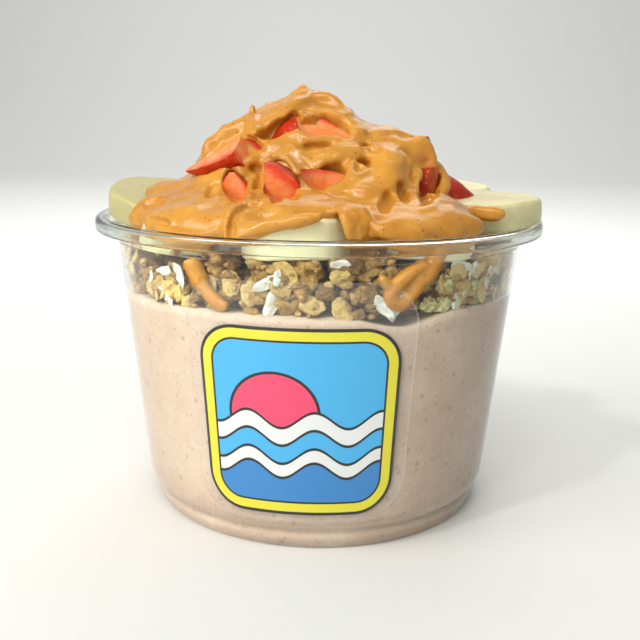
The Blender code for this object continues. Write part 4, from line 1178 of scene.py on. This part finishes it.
def scatter(name, kind):
    # The placed ones come first
    placed, heights, size = kind.get("placed", ()), kind.get("heights"), kind.get("size", (0.8, 1.2))
    flat = "chip" in kind
    makeShape, form = (chipShape, kind["chip"]) if flat else (lumpShape, kind["lump"])
    shapeCount, first, step = kind["shapes"]
    shapes = [makeShape(first + step * i, *form) for i in range(shapeCount)]
    draw = random.Random(kind["seed"])
    points, faces, shadedTones, total = [], [], [], 0
    for i in range(-len(placed), kind.get("count", 0)):
        base, ringed, reliefs = shapes[i % len(shapes)]
        if i < 0:
            angle, height, scale, spin, tone = placed[i]
            turn = againstWall(angle) @ Matrix.Rotation(math.radians(spin), 3, "Z")
        else:
            height = heights[i % len(heights)] + draw.uniform(-granola["spread"], granola["spread"])
            angle = (360.0 * (i * 0.618034 % 1.0)) - 180.0 + draw.uniform(-3, 3)
            scale, tone = draw.uniform(*size), draw.random()
            spin, tip = draw.uniform(0, math.tau), draw.uniform(-0.5, 0.5) if flat else draw.uniform(0, 3)
            turn = Matrix.Rotation(spin, 3, "Z") @ Matrix.Rotation(tip, 3, "X")
            if flat:  # chips lie against the wall, lumps any way round
                turn = againstWall(angle) @ turn
        some = base @ (np.array(turn).T * scale) + np.array(polar(angle, 48.0, height))
        out = np.array(polar(angle, 1.0, 0.0))
        reach = (some @ out).max()
        inset = 2.4 if nearDrip(angle, height, 2.5) else draw.uniform(0.0, 0.5)
        some += out * (innerRadius(min(height, 70.0)) - 0.1 - inset * (i >= 0) - reach)
        middle = Vector(some.mean(0))
        some[:, 2] += max(0.0, smoothieHeight(middle.x, middle.y) - 0.8 - some[:, 2].min())
        high = some[:, 2].max() > granola["highest"]
        if high or underBanana(Vector(some.mean(0)), 0.25 * np.ptp(some[:, 2])):
            continue
        faces += [tuple(k + total for k in face) for face in ringed]
        points.append(some)
        # Lighter on the raised bumps and darker in the hollows: painted shade in the hollows, on top of each piece's
        # own tone
        shadedTones += np.clip(0.15 + 0.7 * tone + 0.9 * reliefs, 0.0, 1.0).tolist()
        total += len(some)
    mesh = meshFrom(name, np.concatenate(points).tolist(), faces)
    storeValues(mesh, "tone", shadedTones)
    addPiece(name, mesh, [makeCerealLook(*kind["look"])])


def makeCerealLook(name, paints, roughness=0.65, bumpScale=700.0):
    low, mid, high = paints
    look, tree, shader = newLook(name, {"Roughness": roughness, **granola["finish"]})
    # The tone runs the paints from dark to light; it holds each piece's own tone and the painted shade of its hollows
    tone = storedValue(tree, "tone")
    colour = mixColours(tree, mathNode(tree, "MULTIPLY", tone, 2.0, clamp=True), low, mid)
    colour = mixColours(tree, mathNode(tree, "MULTIPLY_ADD", tone, 2.0, -1.0, clamp=True), colour, high)
    colour = addMarks(tree, colour, [(*granola["cloud"], low)])
    addSurface(tree, shader, colour, bumpScale, *granola["bump"])
    return look


def makeGranolaCore():
    radius, top, steps = granola["coreRadius"], granola["coreTop"], 180
    section = [(0.3, top)] + [(radius * share, top) for share in (0.3, 0.6, 0.85, 0.97)]
    section += [(radius, top - drop) for drop in (1.0, 3.0, 5.0, 7.0, 9.0, 11.0)]
    section += [(0.3, top - granola["coreDepth"])]
    points = []
    for reach, height in section:
        for i in range(steps):
            angle = 360.0 * i / steps
            place = polar(angle, reach, height)
            near = noise.voronoi(place * 0.28)[0][0]
            points.append(place + polar(angle, 1.0, 0.4) * (2.2 * (0.5 - near)) * min(1.0, reach / 10))
    mesh = meshFrom("granolaCore", points, ringFaces(len(section), steps))
    storeValues(mesh, "tone", [0.2] * len(points))
    addPiece("granolaCore", mesh, [makeCerealLook("granolaCore", granola["coreShadePaints"])], ["granola"])


def makeGranola():
    makeGranolaCore()
    for name, kind in granolaKinds.items():
        scatter(name, kind)


makeGranola()
print("granola done")


# Printed label on clear film
label = {
    "side": 46.0,
    "corner": 9.0,
    "angle": -5.0,
    "height": 33.5,
    "lift": 0.10,
    "thickness": 0.18,
    "finish": {"Roughness": 0.30, "Coat Weight": 0.4, "Coat Roughness": 0.08},
    "grain": (60.0, 0.08, 0.3),
    "wave": (2.0, 15.5),  # height and length
    "sun": (-5.5, 2.0),
    "sunRings": ((10.7, "black"), (10.0, "pink")),
    # Heights under which each paint starts, then distances from the outline inside which it lies
    "waves": ((1.4, "black"), (0.7, "white"), (-3.0, "black"), (-3.7, "blue"), (-7.6, "black"), (-8.3, "white"),
              (-11.2, "black"), (-11.9, "deepBlue")),
    "border": ((3.45, "black"), (2.95, "yellow"), (0.75, "black")),
    "paints": {
        "blue": (0.055, 0.42, 0.78),
        "deepBlue": (0.03, 0.22, 0.55),
        "yellow": (0.74, 0.68, 0.03),
        "black": (0.012, 0.012, 0.014),
        "white": (0.76, 0.78, 0.78),
        "pink": (0.92, 0.06, 0.15),
    },
}
film = {
    "width": 53.0,
    "top": 66.8,
    "bottom": 8.6,
    "corner": 11.0,
    "lift": 0.03,
    "thickness": 0.06,
    "finish": {"Base Color": (0.95, 0.97, 0.97, 1.0), "Specular IOR Level": 0.3},
    "alpha": (0.22, 0.03),  # at the edge beyond the rest, a pale line that is partly the film's cut edge and partly a painted highlight on it, and the rest
    "smears": ("cloud", 90.0, 0.40, 0.70),
    "roughness": (0.10, 0.05),
}


def onWall(across, up, lift):
    height = label["height"] + up
    angle = label["angle"] + math.degrees(across / wallRadius(label["height"]))
    return polar(angle, wallRadius(height) + lift, height)


def wrappedSheet(name, width, low, high, corner, lift, thickness):
    columns = 80
    stretch = [low + corner - corner * math.cos(math.radians(9 * i)) for i in range(10)]
    stretch += [low + corner + (high - low - 2 * corner) * i / 24 for i in range(25)]
    stretch += [high - corner + corner * math.sin(math.radians(9 * i)) for i in range(1, 11)]
    flat = []
    for up in stretch:
        drop = max(0.0, (low + corner) - up, up - (high - corner))
        half = width / 2 - corner + math.sqrt(max(0.0, corner**2 - drop**2))
        flat += [(half * (2 * i / columns - 1), up) for i in range(columns + 1)]
    points = [onWall(across, up, lift + thickness) for across, up in flat]
    points += [onWall(across, up, lift) for across, up in flat]
    count, span, last = len(flat), columns + 1, len(stretch) - 1
    faces = ringFaces(len(stretch), span, closed=False)
    faces += [tuple(count + i for i in reversed(face)) for face in faces]
    border = list(range(columns)) + [row * span + columns for row in range(last)]
    border += [count - 1 - i for i in range(columns)] + [row * span for row in range(last, 0, -1)]
    for here, there in zip(border, border[1:] + border[:1]):
        faces.append((there, here, here + count, there + count))
    mesh = meshFrom(name, points, faces)
    rims = [1.0 if i < span or i >= last * span or i % span in (0, columns) else 0.0 for i in range(count)]
    storeValues(mesh, "rim", rims * 2)
    layer = mesh.uv_layers.new(name="flat")
    for loop in mesh.loops:
        layer.data[loop.index].uv = [c / 100.0 + 0.5 for c in flat[loop.vertex_index % count]]
    return mesh


def farNode(tree, first, second):
    squares = [mathNode(tree, "POWER", mathNode(tree, "ABSOLUTE", value), 2.0) for value in (first, second)]
    return mathNode(tree, "SQRT", mathNode(tree, "ADD", *squares))


def makeLabelLook():
    look, tree, shader = newLook("labelPrint", label["finish"])
    uv = addNode(tree, "ShaderNodeUVMap", uv_map="flat")
    split = addNode(tree, "ShaderNodeSeparateXYZ")
    tree.links.new(uv.outputs["UV"], split.inputs["Vector"])
    across, up = [mathNode(tree, "MULTIPLY_ADD", split.outputs[axis], 100.0, -50.0) for axis in "XY"]
    # Distance inside the rounded outline
    inset = label["side"] / 2 - label["corner"]
    past = [mathNode(tree, "SUBTRACT", mathNode(tree, "ABSOLUTE", value), inset) for value in (across, up)]
    past = [mathNode(tree, "MAXIMUM", value, 0.0) for value in past]
    inside = mathNode(tree, "SUBTRACT", label["corner"], farNode(tree, *past))
    # Waves over the lower half, and a sun that sets behind them
    height, length = label["wave"]
    swing = mathNode(tree, "SINE", mathNode(tree, "MULTIPLY", across, math.tau / length))
    level = mathNode(tree, "SUBTRACT", up, mathNode(tree, "MULTIPLY", swing, height))
    sun = farNode(tree, *[mathNode(tree, "SUBTRACT", value, c) for value, c in zip((across, up), label["sun"])])
    colour = label["paints"]["blue"]
    for measure, bands in ((sun, "sunRings"), (level, "waves"), (inside, "border")):
        for limit, paint in label[bands]:
            colour = mixColours(tree, mathNode(tree, "LESS_THAN", measure, limit), colour, label["paints"][paint])
    addSurface(tree, shader, colour, *label["grain"])
    return look


def makeFilmLook():
    look, tree, shader = newLook("clearFilm", film["finish"])
    # The edge is drawn as a paler, more opaque line: partly the film's own cut edge, partly a painted highlight along
    # it
    edge = mathNode(tree, "POWER", storedValue(tree, "rim"), 3.0)
    tree.links.new(mathNode(tree, "MULTIPLY_ADD", edge, *film["alpha"]), shader.inputs["Alpha"])
    smears = maskNode(tree, *film["smears"])
    tree.links.new(mathNode(tree, "MULTIPLY_ADD", smears, *film["roughness"]), shader.inputs["Roughness"])
    addBump(tree, shader, smears, 0.2, 0.05)
    return look


def makeLabel():
    half = label["side"] / 2
    sheet = (label["corner"], label["lift"], label["thickness"])
    mesh = wrappedSheet("labelPrint", label["side"], -half, half, *sheet)
    addPiece("labelPrint", mesh, [makeLabelLook()], ["label"])
    low, high = film["bottom"] - label["height"], film["top"] - label["height"]
    mesh = wrappedSheet("labelFilm", film["width"], low, high, film["corner"], film["lift"], film["thickness"])
    addPiece("labelFilm", mesh, [makeFilmLook()])


makeLabel()
print("label done")


# Floor, light and camera
lamps = {
    "key": {"place": (-0.50, -0.24, 0.45), "size": 0.26, "power": 1.35, "colour": (1.0, 0.96, 0.90)},
    "spark": {"place": (-0.28, -0.34, 0.56), "size": 0.05, "power": 1.0, "colour": (1.0, 0.98, 0.94)},
    "fill": {"place": (0.50, -0.34, 0.30), "size": 0.50, "power": 0.1, "colour": (0.90, 0.95, 1.0)},
    "front": {"place": (-0.05, -0.46, 0.66), "size": 0.32, "power": 1.8, "colour": (1.0, 0.97, 0.92)},
    "rim": {"place": (0.10, 0.45, 0.50), "size": 0.40, "power": 0.8, "colour": (1.0, 0.98, 0.95)},
    "low": {"place": (-0.34, -0.51, 0.15), "size": 0.26, "power": 1.08, "colour": (1.0, 0.98, 0.95)},
    "sweep": {"place": (0.0, 0.55, 0.90), "size": 1.0, "power": 10.0, "colour": (1.0, 1.0, 1.0),
              "aim": (0.0, 1.5, 0.1)},
}


def makeStage():
    floor = bpy.data.objects.new("floor", bpy.data.meshes.new("floor"))
    scene.collection.objects.link(floor)
    # Level ground that sweeps up behind the cup
    bends = [math.radians(9 * i) for i in range(1, 11)]
    sweep = [(-2.5, 0.0), (1.2, 0.0)] + [(1.2 + 0.8 * math.sin(bend), 0.8 - 0.8 * math.cos(bend)) for bend in bends]
    sweep.append((2.0, 2.2))
    shape = bmesh.new()
    rows = [[shape.verts.new((x, y, z)) for x in (-3.0, 3.0)] for y, z in sweep]
    for low, high in zip(rows, rows[1:]):
        shape.faces.new((low[0], low[1], high[1], high[0]))
    shape.to_mesh(floor.data)
    shape.free()
    floor.data.shade_smooth()
    floor.data.materials.append(newLook("floorPaint", {"Base Color": (*stage["floor"], 1.0), "Roughness": 0.6})[0])
    world = bpy.data.worlds.new("sky")
    world.use_nodes = True
    sky = world.node_tree.nodes["Background"]
    sky.inputs["Color"].default_value = (*stage["sky"], 1.0)
    sky.inputs["Strength"].default_value = stage["skyStrength"]
    scene.world = world
    scene.view_settings.view_transform = "Standard"
    for name, lamp in lamps.items():
        light = bpy.data.lights.new(name, "AREA")
        light.size = lamp["size"]
        light.energy = lamp["power"]
        light.color = lamp["colour"]
        holder = bpy.data.objects.new(name, light)
        holder.location = lamp["place"]
        holder.visible_glossy = name != "sweep"  # it lights the backdrop alone, so the cup doesn't mirror it
        aim = Vector(lamp.get("aim", (0.0, 0.0, 0.05))) - holder.location
        holder.rotation_euler = aim.to_track_quat("-Z", "Y").to_euler()
        scene.collection.objects.link(holder)


def makeCamera():
    camera = bpy.data.objects.new("camera", bpy.data.cameras.new("camera"))
    scene.collection.objects.link(camera)
    camera.data.sensor_width = 36.0
    camera.data.lens = stage["lens"]
    camera.data.clip_start = 0.01
    camera.location = (0.0, -stage["distance"] * mm, stage["eyeHeight"] * mm)
    turn = Matrix.Rotation(math.radians(-stage["yaw"]), 4, "Z")
    turn = turn @ Matrix.Rotation(math.radians(90.0 - stage["pitch"]), 4, "X")
    turn = turn @ Matrix.Rotation(math.radians(stage["roll"]), 4, "Z")
    camera.rotation_euler = turn.to_euler()
    scene.camera = camera


makeStage()
makeCamera()
